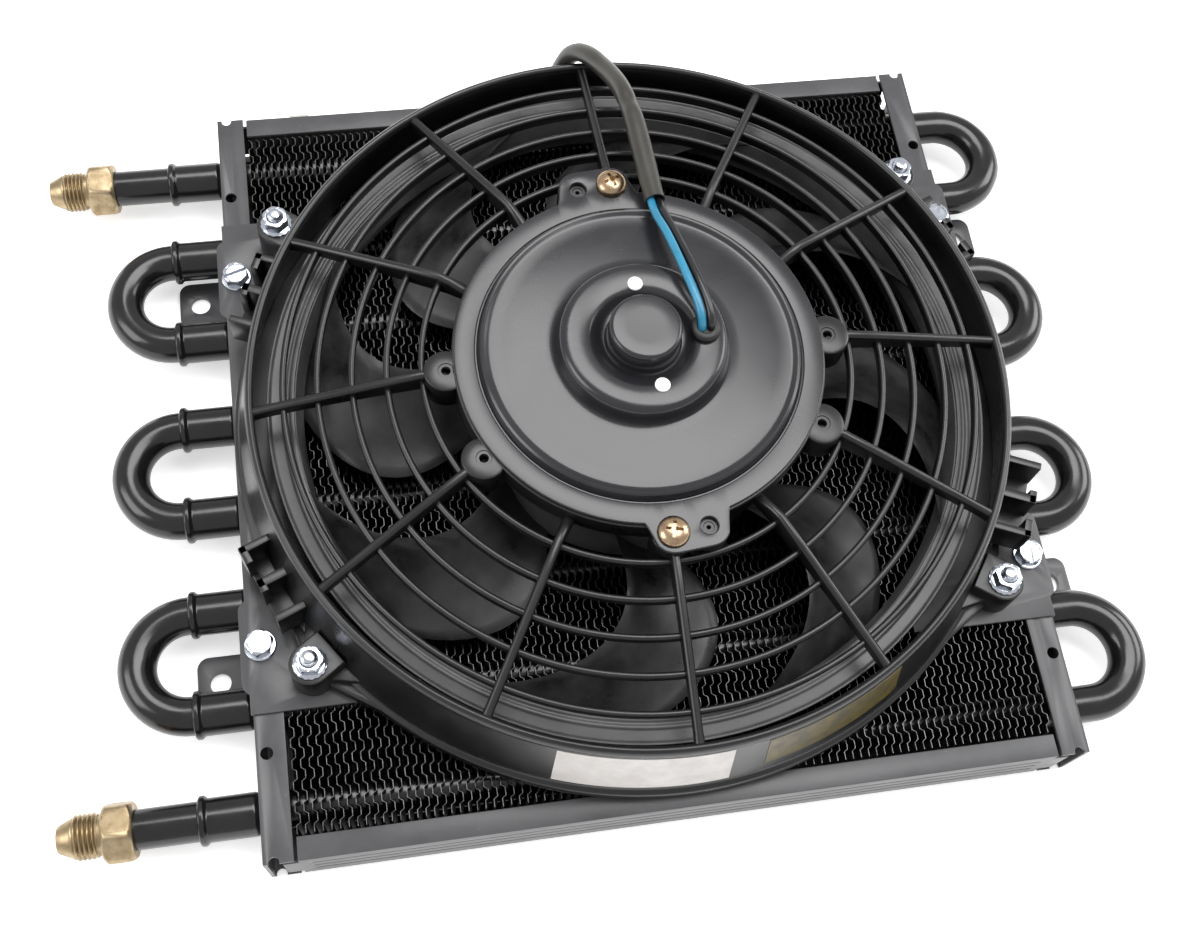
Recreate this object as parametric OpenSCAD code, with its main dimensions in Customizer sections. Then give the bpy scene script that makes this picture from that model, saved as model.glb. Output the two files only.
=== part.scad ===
// Tube-and-fin oil cooler with an electric fan, lying on its back, fan side up.
// The origin is at the centre of the back face, on the fan axis.

/* [Core] */
// Width of the core over the two headers
core_w = 266.7; // [240:0.1:300]
// Length of the headers
core_h = 273.6; // [260:0.1:290]
// Depth of the headers, from the back face to the front face
core_d = 24.4; // [22:0.1:30]
// Sheet thickness of the headers and rails
sheet_t = 1.2; // [0.8:0.1:1.5]
// Width of the header strips seen from the front
strip_w = 9.4; // [8:0.1:12]
// Width of the rail flanges
rail_w = 7.4; // [6:0.1:8]

/* [Tubes] */
// Distance between neighbouring tube passes
tube_pitch = 33.9; // [30:0.1:34.5]
// Outer radius of the tubes
tube_r = 6.35; // [5:0.05:6.6]
// Wall thickness of the tubes
tube_wall = 0.9; // [0.6:0.1:1.2]
// Outer radius of the expanded tube ends
socket_r = 7.0; // [6.9:0.05:7.4]
// Reach of the bends past the header, on the right
bend_reach_r = 34.3; // [30:0.1:45]
// Reach of the bends past the header, on the left
bend_reach_l = 43.7; // [40:0.1:55]

/* [Fins] */
// Number of fins
fin_count = 93; // [21:2:93]
// Distance between neighbouring fins
fin_pitch = 2.65; // [2.4:0.05:2.65]
// Thickness of a fin
fin_t = 0.3; // [0.2:0.05:0.5]

/* [Fittings] */
// Width across the flats of the flare fitting's hexagon
hex_af = 17.5; // [16:0.1:19]
// Outer radius of the flare fitting's thread, nine sixteenths of an inch across
thread_r = 7.14; // [7:0.01:7.3]
// Length of the thread
thread_len = 8; // [6:0.5:9]

/* [Fan] */
// Outer radius of the shroud's rim
rim_r = 126.5; // [125.5:0.1:127]
// Outer radius of the shroud's foot
foot_r = 133.5; // [133:0.1:134]
// Height of the shroud
shroud_h = 32.8; // [32:0.1:34]
// Number of guard spokes
spoke_count = 12; // [12:12:24]
// Number of guard rings
ring_count = 5; // [3:1:5]
// Radius of the innermost guard ring
ring_first_r = 69.8; // [69:0.1:70]
// Distance between neighbouring guard rings
ring_pitch = 11.15; // [10:0.05:11.5]
// Number of fan blades
blade_count = 8; // [6:1:10]
// Outer radius of the rotor's band
band_r = 114; // [112:0.5:115]

/* [Motor] */
// Outer radius of the motor's end plate
plate_r = 59.6; // [59:0.1:60]
// Radius of the motor's steel case
case_r = 50.5; // [49:0.1:51]
// Radius of the motor shaft
shaft_r = 4; // [4:0.1:4.2]

/* [Leads] */
// Diameter of one lead
lead_d = 2.7; // [2.4:0.1:2.8]
// Diameter of the sleeve over the leads
sleeve_d = 7; // [6:0.1:7.4]

/* [Hidden] */
$fn = 64;
e = 0.01;

half_w = core_w / 2;
half_h = core_h / 2;
tube_z = core_d / 2;
bend_r = tube_pitch / 2;
pass_y = [for (i = [0:7]) (3.5 - i) * tube_pitch];   // pass 0 is the inlet, at the top
socket_x = half_w + 18;                              // where the expanded ends stop
bead_x = socket_x + 1.6;
socket_bore = tube_r + 0.05;
insert_x = half_w + 5.8;                             // how deep the bends sit in the sockets
fit_x = half_w + 39.1;                               // back of the flare fitting
hex_len = 9.5;
relief_len = 1.4;
nose_len = 4.6;

strip_hole = [130, 102.7];
screw_at = [129.7, 68];
ear_at = [145.8, 72];
ear_r = 9.2;
ear_hole_r = 3.5;
bracket_t = 1.2;
deck = core_d + bracket_t;                           // the surface that the fan stands on

lug_at = [113.5, 80];
lug_r = 6.8;
lug_h = 14;
stud_r = 2.5;
rim_z = deck + shroud_h;
wall_t = 2.6;
hub_z = 72.7;                                        // underside of the motor's end plate
plate_t = 1.5;
boss_at = 62.3;
tab_at = 62.8;
tab_turn = 10.5;
top_in = 75.2;                                       // line of the spoke tops, at the hub
top_out = 57.4;                                      // the same line at the rim
rotor_z = 27.4;
band_top = 45.4;
blade_root = 53.8;

function spoke_top(r) = top_in + (top_out - top_in) * (r - 60) / 65.2;
function ring_r(i) = ring_first_r + i * ring_pitch;
function polar(r, a) = [r * cos(a), r * sin(a)];

// Lead routes: from the grommet to the sleeve, along the sleeve, then to the terminals
grommet_at = [19.5, -0.3];
lead_gap = 1.45;
blue_run = [[18.05, -0.3, 80], [18.05, -0.3, 88], [17.2, 6, 91.5], [15.2, 17, 91.5], [12.8, 33, 88],
    [11, 43, 84.5], [10.6, 50, 82]];
black_run = [[20.95, -0.3, 80], [20.95, -0.3, 88], [20.4, 6, 91], [18.4, 17, 91], [15.8, 33, 87],
    [13.8, 43, 84.5], [13.4, 50, 82]];
sleeve_run = [[12, 50, 82], [11.6, 60, 81.4], [11.2, 71, 80.8], [10.8, 82, 80], [10.2, 91, 78.4],
    [9.2, 100, 75.8], [7.6, 108, 72.4], [5.4, 115.5, 68.8], [2.8, 122.5, 65.4], [0, 128, 61.4],
    [-2.6, 131.2, 56.6], [-4.6, 132.2, 51], [-6.2, 133.4, 44], [-7.6, 136, 37], [-9, 139.6, 29],
    [-10.6, 142, 20], [-13, 144.2, 12], [-18, 146, 6], [-26, 146.8, 3.9], [-38, 147, 3.9],
    [-52, 147, 3.9], [-66, 147, 3.9]];
blue_tail = [[-66, 145.6, 3.9], [-74, 145.6, 2.6], [-82, 144.2, 1.6], [-92, 143.4, 1.6]];
black_tail = [[-66, 148.4, 3.9], [-74, 148.4, 2.6], [-82, 149.6, 1.6], [-92, 150.4, 1.6]];
terminal_x = -92;

// A tube swept along the points of a route
function unit(v) = v / norm(v);
function dir_at(p, i) = unit(p[min(i + 1, len(p) - 1)] - p[max(i - 1, 0)]);
function side_of(t) = unit(cross(t, abs(t[2]) > 0.9 ? [1, 0, 0] : [0, 0, 1]));
function ring_at(p, i, r, n) =
    let (t = dir_at(p, i), s = side_of(t), u = cross(s, t))
    [for (k = [0:n - 1]) p[i] + r * (cos(360 * k / n) * s + sin(360 * k / n) * u)];

module swept(p, r, n = 8) {
    m = len(p);
    polyhedron(
        points = [for (i = [0:m - 1]) each ring_at(p, i, r, n)],
        faces = concat(
            [[for (k = [0:n - 1]) k]],
            [for (i = [0:m - 2]) for (k = [0:n - 1])
                [i * n + k, (i + 1) * n + k, (i + 1) * n + (k + 1) % n, i * n + (k + 1) % n]],
            [[for (k = [n - 1:-1:0]) (m - 1) * n + k]]),
        convexity = 6);
}

module along_x(x0, x1, r) {
    translate([min(x0, x1), 0, 0]) rotate([0, 90, 0]) cylinder(h = abs(x1 - x0), r = r);
}

module box(x0, x1, y0, y1, z0, z1) {
    translate([x0, y0, z0]) cube([x1 - x0, y1 - y0, z1 - z0]);
}

module mirrored_y() {
    children();
    mirror([0, 1, 0]) children();
}

module four_ways() {
    mirrored_y() children();
    mirror([1, 0, 0]) mirrored_y() children();
}

// ---- Core ----

module fins() {
    color([0.07, 0.07, 0.08])
    difference() {
        for (i = [0:fin_count - 1])
            translate([(i - (fin_count - 1) / 2) * fin_pitch, 0, core_d / 2])
                cube([fin_t, 2 * (half_h - sheet_t - rail_w), core_d - 1.2], center = true);
        for (y = pass_y) translate([0, y, tube_z]) along_x(-half_w, half_w, tube_r + 0.06);
    }
}

// The right-hand header; the left one is its mirror image
module header() {
    hx = half_w;
    difference() {
        union() {
            box(hx - sheet_t, hx, -half_h, half_h, 0, core_d);
            box(hx - strip_w, hx, -half_h, half_h, core_d - sheet_t, core_d);
            box(hx - strip_w, hx, -half_h, half_h, 0, sheet_t);
            mirrored_y() {
                box(hx - 1, ear_at[0] - 1, ear_at[1] - ear_r, ear_at[1] + ear_r, 0, 2);
                translate([ear_at[0] + 3.4, ear_at[1] - ear_r + 4, 0]) cylinder(h = 2, r = 4);
                translate([ear_at[0] + 3.4, ear_at[1] + ear_r - 4, 0]) cylinder(h = 2, r = 4);
                box(hx - 1, ear_at[0] + 3.4, ear_at[1] - ear_r, ear_at[1] + ear_r, 0, 2);
                box(hx - 1, ear_at[0] + 7.4, ear_at[1] - ear_r + 4, ear_at[1] + ear_r - 4, 0, 2);
            }
        }
        for (y = pass_y) translate([0, y, tube_z]) along_x(hx - 3, hx + 1, tube_r + 0.1);
        mirrored_y() {
            translate([strip_hole[0], strip_hole[1], core_d - 3]) cylinder(h = 4, r = 2);
            translate([screw_at[0], screw_at[1], core_d - 3]) cylinder(h = 4, r = 2.15);
            translate([ear_at[0], ear_at[1], -1]) cylinder(h = 4, r = ear_hole_r);
            translate([130, half_h - 0.4, -1]) cylinder(h = core_d + 2, r = 1.7);
        }
    }
}

module header_right() { color([0.1, 0.1, 0.11]) header(); }

module header_left() { color([0.1, 0.1, 0.11]) mirror([1, 0, 0]) header(); }

// The top rail; the bottom one is its mirror image
module rail() {
    rail_x = half_w - strip_w - 1.1;
    tongue_x = half_w - 5.6;
    y1 = half_h;
    y0 = half_h - rail_w;
    difference() {
        union() {
            box(-rail_x, rail_x, y1 - sheet_t, y1, 0.4, core_d - 0.4);
            box(-rail_x, rail_x, y0, y1, core_d - 0.4 - sheet_t, core_d - 0.4);
            box(-rail_x, rail_x, y0, y1, 0.4, 0.4 + sheet_t);
            box(-tongue_x, tongue_x, y1 - sheet_t, y1, 4, core_d - 4);
        }
        for (z = [7, 12.2, 17.4])
            translate([0, y1, z]) rotate([45, 0, 0]) cube([2 * rail_x - 8, 0.9, 0.9], center = true);
    }
}

module rail_top() { color([0.14, 0.14, 0.15]) rail(); }

module rail_bottom() { color([0.14, 0.14, 0.15]) mirror([0, 1, 0]) rail(); }

// Half a turn of tube; its legs point towards -X
module half_turn() {
    rotate([0, 0, -90]) rotate_extrude(angle = 180)
        translate([bend_r, 0]) difference() {
            circle(r = tube_r);
            circle(r = tube_r - tube_wall);
        }
}

module hairpin(pass) {
    turn_x = half_w + bend_reach_r - tube_r - bend_r;
    mid_y = (pass_y[pass] + pass_y[pass + 1]) / 2;
    translate([turn_x, mid_y, tube_z]) half_turn();
    for (y = [pass_y[pass], pass_y[pass + 1]]) translate([0, y, tube_z]) difference() {
        union() {
            along_x(-half_w - 1, turn_x, tube_r);
            along_x(-socket_x, -half_w - 0.4, socket_r);
            along_x(-bead_x, -socket_x + e, socket_r + 1);
        }
        along_x(-half_w, turn_x + 1, tube_r - tube_wall);
        along_x(-bead_x - 1, -insert_x + 1, socket_bore);
        along_x(-insert_x + 2, -half_w - 0.2, tube_r - tube_wall);
    }
}

module hairpin_tubes() { color([0.08, 0.08, 0.08]) for (p = [0, 2, 4, 6]) hairpin(p); }

module return_bends() {
    turn_x = half_w + bend_reach_l - tube_r - bend_r;
    color([0.08, 0.08, 0.08])
    for (p = [1, 3, 5]) {
        translate([-turn_x, (pass_y[p] + pass_y[p + 1]) / 2, tube_z]) mirror([1, 0, 0]) half_turn();
        for (y = [pass_y[p], pass_y[p + 1]]) translate([0, y, tube_z]) difference() {
            along_x(-turn_x, -insert_x, tube_r);
            along_x(-turn_x - 1, -insert_x + 1, tube_r - tube_wall);
        }
    }
}

module stub(y) {
    color([0.08, 0.08, 0.08])
    translate([0, y, tube_z]) difference() {
        along_x(-fit_x - 5, -insert_x, tube_r);
        along_x(-fit_x - 6, -insert_x + 1, tube_r - tube_wall);
    }
}

module inlet_stub() { stub(pass_y[0]); }

module outlet_stub() { stub(pass_y[7]); }

module flare_fitting(y) {
    hex_x = fit_x + hex_len;
    end_x = hex_x + relief_len + thread_len;
    color([0.72, 0.58, 0.38])
    translate([0, y, tube_z]) difference() {
        union() {
            intersection() {
                translate([-hex_x, 0, 0]) rotate([0, 90, 0])
                    cylinder(h = hex_len, r = hex_af / 2 / cos(30), $fn = 6);
                translate([-hex_x, 0, 0]) rotate([0, 90, 0]) cylinder(h = hex_len, r1 = 9, r2 = 14);
                translate([-fit_x, 0, 0]) rotate([0, -90, 0]) cylinder(h = hex_len, r1 = 9, r2 = 14);
            }
            along_x(-hex_x - relief_len - e, -hex_x + e, thread_r - 0.9);
            along_x(-end_x, -hex_x - relief_len, thread_r);
            translate([-end_x, 0, 0]) rotate([0, -90, 0])
                cylinder(h = nose_len, r1 = thread_r - 0.3, r2 = 4.1);
        }
        along_x(-end_x - nose_len - 1, -fit_x + 1, 3.6);
        along_x(-fit_x - 5.2, -fit_x + 1, tube_r + 0.05);
    }
}

module inlet_fitting() { flare_fitting(pass_y[0]); }

module outlet_fitting() { flare_fitting(pass_y[7]); }

// ---- Fan brackets and fasteners ----

module fan_plate() {
    difference() {
        union() {
            box(84, 134, -90.3, 90.3, core_d, deck);
            mirrored_y() {
                box(130, 136.2, 56, 80, core_d, deck);
                for (y = [56, 80]) translate([132.2, y, core_d]) cylinder(h = bracket_t, r = 4);
            }
        }
        translate([0, 0, core_d - 1]) cylinder(h = 4, r = 118.5, $fn = 128);
        mirrored_y() {
            translate([screw_at[0], screw_at[1], core_d - 1]) cylinder(h = 4, r = 2.15);
            translate([lug_at[0], lug_at[1], core_d - 1]) cylinder(h = 4, r = 3.7);
        }
    }
}

module fan_plate_right() { color([0.12, 0.12, 0.13]) fan_plate(); }

module fan_plate_left() { color([0.12, 0.12, 0.13]) mirror([1, 0, 0]) fan_plate(); }

module plate_screws() {
    color([0.75, 0.76, 0.78])
    four_ways() translate([screw_at[0], screw_at[1], deck]) difference() {
        union() {
            cylinder(h = 1, r1 = 5.2, r2 = 4.9);
            cylinder(h = 4.4, r = 8 / 2 / cos(30), $fn = 6);
            translate([0, 0, -9]) cylinder(h = 9.5, r = 2.1);
        }
        translate([0, 0, 4.4]) rotate([0, 0, 35]) cube([12, 1.3, 2.4], center = true);
    }
}

module lug_studs() {
    color([0.75, 0.76, 0.78])
    four_ways() translate([lug_at[0], lug_at[1], core_d]) {
        cylinder(h = bracket_t, r = 3.65);
        cylinder(h = bracket_t + lug_h + 7.4, r = stud_r);
    }
}

module lug_nuts() {
    color([0.78, 0.79, 0.81])
    four_ways() translate([lug_at[0], lug_at[1], deck + lug_h]) difference() {
        union() {
            cylinder(h = 1.1, r1 = 5.6, r2 = 5.3);
            cylinder(h = 5.2, r = 8 / 2 / cos(30), $fn = 6);
        }
        translate([0, 0, -1]) cylinder(h = 8, r = stud_r + 0.05);
    }
}

// ---- Fan shroud: wall, guard, hub ring, lugs and clip pockets in one moulding ----

module shroud_wall() {
    top = rim_z;
    low = deck + 4.8;
    rotate_extrude($fn = 128) polygon([
        [foot_r, deck], [foot_r, low], [foot_r - 1, low + 0.8], [foot_r - 2, low + 1],
        [rim_r + 0.2, top - 2.6], [rim_r - 0.2, top - 1.2], [rim_r - 1, top - 0.3], [rim_r - 1.8, top],
        [rim_r - 2.4, top - 0.4], [rim_r - wall_t, top - 1.4],
        [foot_r - 2 - wall_t, low + 0.4], [foot_r - 2, low - 1.6], [foot_r - 2, deck]]);
}

module guard_ring(i) {
    r = ring_r(i);
    top = 69 - 0.232 * (r - ring_first_r);
    rotate_extrude($fn = 96) translate([r, top - 2]) {
        translate([-0.9, -1.4]) square([1.8, 2.5]);
        translate([0, 1.1]) circle(r = 0.9);
    }
}

module spoke(a) {
    rotate([0, 0, a]) {
        translate([0, 1.3, 0]) rotate([90, 0, 0]) linear_extrude(height = 2.6)
            polygon([[57.5, 63.8], [66.5, 63.8], [76, spoke_top(76) - 8.2], [98, spoke_top(98) - 6],
                [118, spoke_top(118) - 5], [125, spoke_top(125) - 5], [125, spoke_top(125)],
                [70.5, spoke_top(70.5)], [69, hub_z - 0.5], [57.5, hub_z - 0.5]]);
        translate([0, 1.8, 0]) rotate([90, 0, 0]) linear_extrude(height = 3.6)
            polygon([[57.5, 64.3], [66, 64.3], [66, hub_z - 0.8], [57.5, hub_z - 0.8]]);
    }
}

module lug() {
    a = atan2(lug_at[1], lug_at[0]);
    rotate([0, 0, a]) {
        r = norm(lug_at);
        translate([r, 0, deck]) cylinder(h = lug_h, r = lug_r);
        box(128.5, r, -lug_r, lug_r, deck, deck + lug_h);
        translate([0, 0, deck]) linear_extrude(height = 5)
            polygon([[r - 1, lug_r], [r - 1, -lug_r], [126.2, -30], [129, -16], [129, 16], [126.2, 30]]);
    }
}

module clip_pocket(a) {
    rotate([0, 0, a]) difference() {
        union() {
            box(126.5, 138.5, -14, 14, deck + 6, deck + 19);
            box(127, 141.5, -6, 6, deck + 6, deck + 16);
        }
        box(131.5, 136.4, -11.6, -2.4, deck + 8, deck + 20);
        box(131.5, 136.4, 2.4, 11.6, deck + 8, deck + 20);
        box(137.4, 142, -3.6, 3.6, deck + 5, deck + 20);
    }
}

module fan_shroud() {
    color([0.1, 0.1, 0.1])
    difference() {
        union() {
            shroud_wall();
            for (i = [0:ring_count - 1]) guard_ring(i);
            for (i = [0:spoke_count - 1]) spoke(i * 360 / spoke_count);
            difference() {
                union() {
                    four_ways() lug();
                    for (a = [23, 157, 203, 337]) clip_pocket(a);
                }
                translate([0, 0, deck - 1]) cylinder(h = 7.8, r = foot_r - 1, $fn = 128);
                translate([0, 0, deck + 6.7])
                    cylinder(h = 40, r1 = foot_r - 2.9, r2 = foot_r - 2.9 - 8.4, $fn = 128);
            }
            translate([0, 0, 63]) cylinder(h = hub_z - 63, r = 60.2, $fn = 96);
            for (a = [0, 180, 210, 330]) translate(concat(polar(boss_at, a), 64))
                cylinder(h = hub_z - 0.3 - 64, r = 7.2);
            for (a = [90, 90 + tab_turn, 270, 270 + tab_turn]) translate(concat(polar(tab_at, a), 64))
                cylinder(h = hub_z - 64, r = 6.6);
        }
        translate([0, 0, 60]) cylinder(h = 20, r = 53.4, $fn = 96);
        for (a = [0, 180, 210, 330]) translate(concat(polar(boss_at, a), 66)) cylinder(h = 9, r = 1.15);
        for (a = [90, 270]) translate(concat(polar(tab_at, a), 62)) cylinder(h = 14, r = 2.05);
        four_ways() translate([lug_at[0], lug_at[1], deck - 1]) cylinder(h = 20, r = stud_r + 0.1);
    }
}

// A sticker on the sloping wall, from angle a0 to a1
module wall_label(a0, a1, z0, z1) {
    slope = (foot_r - 2 - rim_r - 0.2) / (rim_z - 2.6 - deck - 5.8);
    function wall_r(z) = rim_r + 0.2 + slope * (rim_z - 2.6 - z);
    rotate([0, 0, a0]) rotate_extrude(angle = a1 - a0, $fn = 128)
        polygon([[wall_r(z0) + 0.02, z0], [wall_r(z0) + 0.2, z0], [wall_r(z1) + 0.2, z1],
            [wall_r(z1) + 0.02, z1]]);
}

module rating_label() { color([0.85, 0.83, 0.8]) wall_label(-109.5, -85, 33, 54); }

module caution_label() { color([0.75, 0.66, 0.25]) wall_label(-80, -58, 37, 54); }

// ---- Motor ----

module end_plate_tab(a) {
    rotate([0, 0, a + tab_turn / 2]) intersection() {
        translate([0, 0, hub_z]) cylinder(h = plate_t, r = tab_at + 6.8);
        box(54.4, 72, -12.5, 12.5, hub_z, hub_z + plate_t);
    }
}

module motor_end_plate() {
    outer = [[plate_r, 74.2], [52.8, 74.2], [51.6, 74.9], [50.9, 76], [49.6, 76.5], [29.8, 77],
        [28.3, 77.6], [27, 80], [25.6, 82.6], [23.8, 84], [22, 84.4], [16.6, 84.4], [15.2, 83.8],
        [14.2, 82.2], [13, 81], [12, 81.6], [11.5, 83], [11.4, 88.6], [10.6, 89.9], [9.2, 90.4], [0, 90.4]];
    inner = [[0, 88.9], [9.9, 88.9], [9.9, 79.5], [13.4, 79.5], [15.6, 81.6], [17, 82.9], [21.6, 82.9],
        [23.6, 81.8], [25.4, 79], [27.2, 75.9], [29.4, 75.5], [49.2, 75], [49.9, 73.6], [50.8, hub_z],
        [plate_r, hub_z]];
    color([0.13, 0.13, 0.14])
    difference() {
        union() {
            rotate([0, 0, 40]) rotate_extrude($fn = 128) polygon(concat(outer, inner));
            for (a = [90, 270]) end_plate_tab(a);
        }
        for (a = [90, 270]) {
            translate(concat(polar(tab_at, a), hub_z - 1)) cylinder(h = 4, r = 2.3);
            translate(concat(polar(tab_at, a + tab_turn), hub_z - 1)) cylinder(h = 4, r = 2.5);
        }
        translate([grommet_at[0], grommet_at[1], 80]) cylinder(h = 6, r = 3.7);
    }
}

module motor_case() {
    color([0.1, 0.1, 0.1])
    rotate_extrude($fn = 96) polygon([
        [8.06, 31.8], [12, 31.8], [14, 34], [case_r - 4, 34], [case_r, 38], [case_r, 71],
        [53, 71], [53, hub_z - 0.05], [case_r - 2, hub_z - 0.05], [case_r - 2, 39],
        [case_r - 5, 36], [11, 36], [11, 42], [8.06, 42]]);
}

module motor_screws() {
    color([0.76, 0.7, 0.5])
    for (a = [90, 270]) translate(concat(polar(tab_at, a), hub_z + plate_t)) difference() {
        union() {
            cylinder(h = 0.7, r = 5.1);
            intersection() {
                translate([0, 0, -2.9]) sphere(r = 6.3);
                cylinder(h = 4, r = 5.1);
            }
            translate([0, 0, -10]) cylinder(h = 10.5, r = 2);
        }
        for (t = [0, 90]) rotate([0, 0, t]) translate([0, 0, 3]) cube([4.6, 0.9, 3.4], center = true);
    }
}

module magnets() {
    color([0.25, 0.25, 0.26])
    for (a = [0:90:270]) rotate([0, 0, a + 10]) rotate_extrude(angle = 70)
        translate([40, 40]) square([case_r - 2.1 - 40, 29]);
}

module bush(z0, z1, r) {
    color([0.6, 0.5, 0.35])
    translate([0, 0, z0]) difference() {
        cylinder(h = z1 - z0, r = r);
        translate([0, 0, -1]) cylinder(h = z1 - z0 + 2, r = shaft_r + 0.04);
    }
}

module front_bearing() { bush(32.4, 41.6, 8); }

module rear_bearing() { bush(80, 88.5, 9.85); }

module brush_card() {
    color([0.45, 0.3, 0.2]) difference() {
        union() {
            translate([0, 0, 70]) cylinder(h = 1.4, r = 44);
            for (s = [-1, 1]) translate([s * 20, 0, 73.3]) cube([14, 8, 4.6], center = true);
        }
        translate([0, 0, 69]) cylinder(h = 3, r = 14);
        for (s = [-1, 1]) translate([s * 20, 0, 73.2]) cube([22, 6.2, 3.4], center = true);
    }
}

module brushes() {
    color([0.2, 0.2, 0.2])
    for (s = [-1, 1]) translate([s * 16.2, 0, 73.2]) cube([10, 6, 3.2], center = true);
}

module brush_springs() {
    color([0.7, 0.7, 0.7])
    for (s = [-1, 1]) translate([s * 21.4, 0, 73.2]) rotate([0, s * 90, 0]) difference() {
        cylinder(h = 5, r = 1.5);
        translate([0, 0, -1]) cylinder(h = 8, r = 1);
    }
}

module grommet() {
    color([0.08, 0.08, 0.08])
    translate([grommet_at[0], grommet_at[1], 0]) difference() {
        rotate_extrude() polygon([[0, 80], [4.5, 80], [4.5, 80.9], [3.65, 80.9], [3.65, 84.45],
            [4.9, 84.45], [4.9, 85.6], [4.2, 86.4], [0, 86.4]]);
        for (s = [-1, 1]) translate([s * lead_gap, 0, 79]) cylinder(h = 9, r = lead_d / 2 + 0.03);
    }
}

module vent_plugs() {
    color([0.9, 0.9, 0.88])
    for (a = [90, 279]) translate(concat(polar(18.3, a), 0)) rotate_extrude()
        polygon([[0, 84.42], [2.5, 84.42], [2.3, 84.9], [0, 85.1]]);
}

// ---- Rotor ----

// A blade is a curved, twisted sheet from the hub to the band. At radius r its left edge stands at
// edge_a(r), its width is chord_a(r), and it falls from edge_z(r) to the edge nearer the core.
function share(r) = (r - blade_root) / (band_r - 1 - blade_root);
function edge_a(r) = 169.6 - 50 * pow(share(r) - 0.32, 2);
function chord_a(r) = 22 + 4 * share(r);
function edge_z(r) = 50.5 - 6.4 * pow(share(r), 1.5);
function fall(r) = 19 - 4.5 * share(r);
function blade_point(i, j, lift, n, m) =
    let (r = blade_root + (band_r - 1 - blade_root) * i / n, u = j / m,
        a = edge_a(r) + chord_a(r) * u, z = edge_z(r) - fall(r) * (u + 0.22 * sin(180 * u)))
    [r * cos(a), r * sin(a), z + lift];

module blade() {
    n = 8;
    m = 6;
    w = m + 1;
    top = (n + 1) * w;
    points = [for (lift = [-0.9, 0.9]) for (i = [0:n]) for (j = [0:m]) blade_point(i, j, lift, n, m)];
    lower = [for (i = [0:n - 1]) for (j = [0:m - 1])
        [(i + 1) * w + j, (i + 1) * w + j + 1, i * w + j + 1, i * w + j]];
    upper = [for (f = lower) [for (k = [3:-1:0]) f[k] + top]];
    ends = concat(
        [for (i = [0:n - 1]) [i * w + top, (i + 1) * w + top, (i + 1) * w, i * w]],
        [for (i = [0:n - 1]) [(i + 1) * w + m + top, i * w + m + top, i * w + m, (i + 1) * w + m]],
        [for (j = [0:m - 1]) [j + 1 + top, j + top, j, j + 1]],
        [for (j = [0:m - 1]) [n * w + j + top, n * w + j + 1 + top, n * w + j + 1, n * w + j]]);
    polyhedron(points = points, faces = concat(lower, upper, ends), convexity = 8);
}

module fan_rotor() {
    color([0.1, 0.1, 0.1]) {
        for (k = [0:blade_count - 1]) rotate([0, 0, k * 360 / blade_count]) blade();
        difference() {
            rotate_extrude($fn = 96) polygon([[0, rotor_z + 0.8], [10, rotor_z + 0.8], [12, rotor_z],
                [51, rotor_z], [54.2, rotor_z + 3], [54.6, 54], [52.2, 54], [51.8, rotor_z + 4.6],
                [50, rotor_z + 2.8], [9, rotor_z + 2.8], [9, rotor_z + 3.8], [0, rotor_z + 3.8]]);
            translate([0, 0, 20]) cylinder(h = 20, r = shaft_r + 0.02);
            translate([-7, -1.05, rotor_z - 1]) cube([14, 2.1, 3.2]);
        }
        rotate_extrude($fn = 96) polygon([[band_r - 2, rotor_z + 0.6], [band_r, rotor_z + 0.6],
            [band_r, band_top - 1.8], [121, band_top - 1.8], [121, band_top], [band_r - 2, band_top]]);
    }
}

module motor_shaft() {
    color([0.7, 0.7, 0.72])
    difference() {
        translate([0, 0, 25]) cylinder(h = 62.8, r = shaft_r);
        translate([0, 0, 26]) difference() {
            cylinder(h = 0.9, r = shaft_r + 1);
            translate([0, 0, -1]) cylinder(h = 3, r = shaft_r - 0.6);
        }
        translate([0, 0, rotor_z + 1]) rotate([0, 90, 0]) cylinder(h = 12, r = 1, center = true);
    }
}

module drive_pin() {
    color([0.7, 0.7, 0.72])
    translate([0, 0, rotor_z + 1]) rotate([0, 90, 0]) cylinder(h = 12.6, r = 0.95, center = true);
}

module hub_clip() {
    color([0.6, 0.6, 0.62])
    translate([0, 0, 26.05]) difference() {
        cylinder(h = 0.8, r = 6.6);
        translate([0, 0, -1]) cylinder(h = 3, r = shaft_r - 0.55);
        translate([0, -1.6, -1]) cube([8, 3.2, 3]);
    }
}

module armature_core() {
    color([0.4, 0.4, 0.42])
    translate([0, 0, 45]) difference() {
        cylinder(h = 16, r = 39.2, $fn = 96);
        translate([0, 0, -1]) cylinder(h = 18, r = shaft_r + 0.02);
        for (a = [0:30:330]) rotate([0, 0, a]) {
            translate([28, -1, -1]) cube([14, 2, 18]);
            translate([28, 0, -1]) cylinder(h = 18, r = 4);
        }
    }
}

module armature_windings() {
    color([0.7, 0.35, 0.15])
    for (z = [[38.5, 44.9], [61.1, 67.6]]) rotate_extrude()
        polygon([[13, z[0] + 1], [16, z[0]], [32, z[0]], [35, z[0] + 1.5], [35, z[1]], [13, z[1]]]);
}

module commutator() {
    color([0.72, 0.42, 0.25])
    translate([0, 0, 62]) difference() {
        cylinder(h = 15, r = 11);
        translate([0, 0, -1]) cylinder(h = 17, r = shaft_r + 0.02);
        for (a = [0:30:330]) rotate([0, 0, a]) translate([9.6, -0.3, 4]) cube([3, 0.6, 12]);
    }
}

// ---- Leads ----

module lead_blue() {
    color([0.1, 0.5, 0.7]) {
        swept(blue_run, lead_d / 2);
        swept(blue_tail, lead_d / 2);
    }
}

module lead_black() {
    color([0.05, 0.05, 0.05]) {
        swept(black_run, lead_d / 2);
        swept(black_tail, lead_d / 2);
    }
}

module lead_sleeve() { color([0.2, 0.2, 0.2]) swept(sleeve_run, sleeve_d / 2, 10); }

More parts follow.
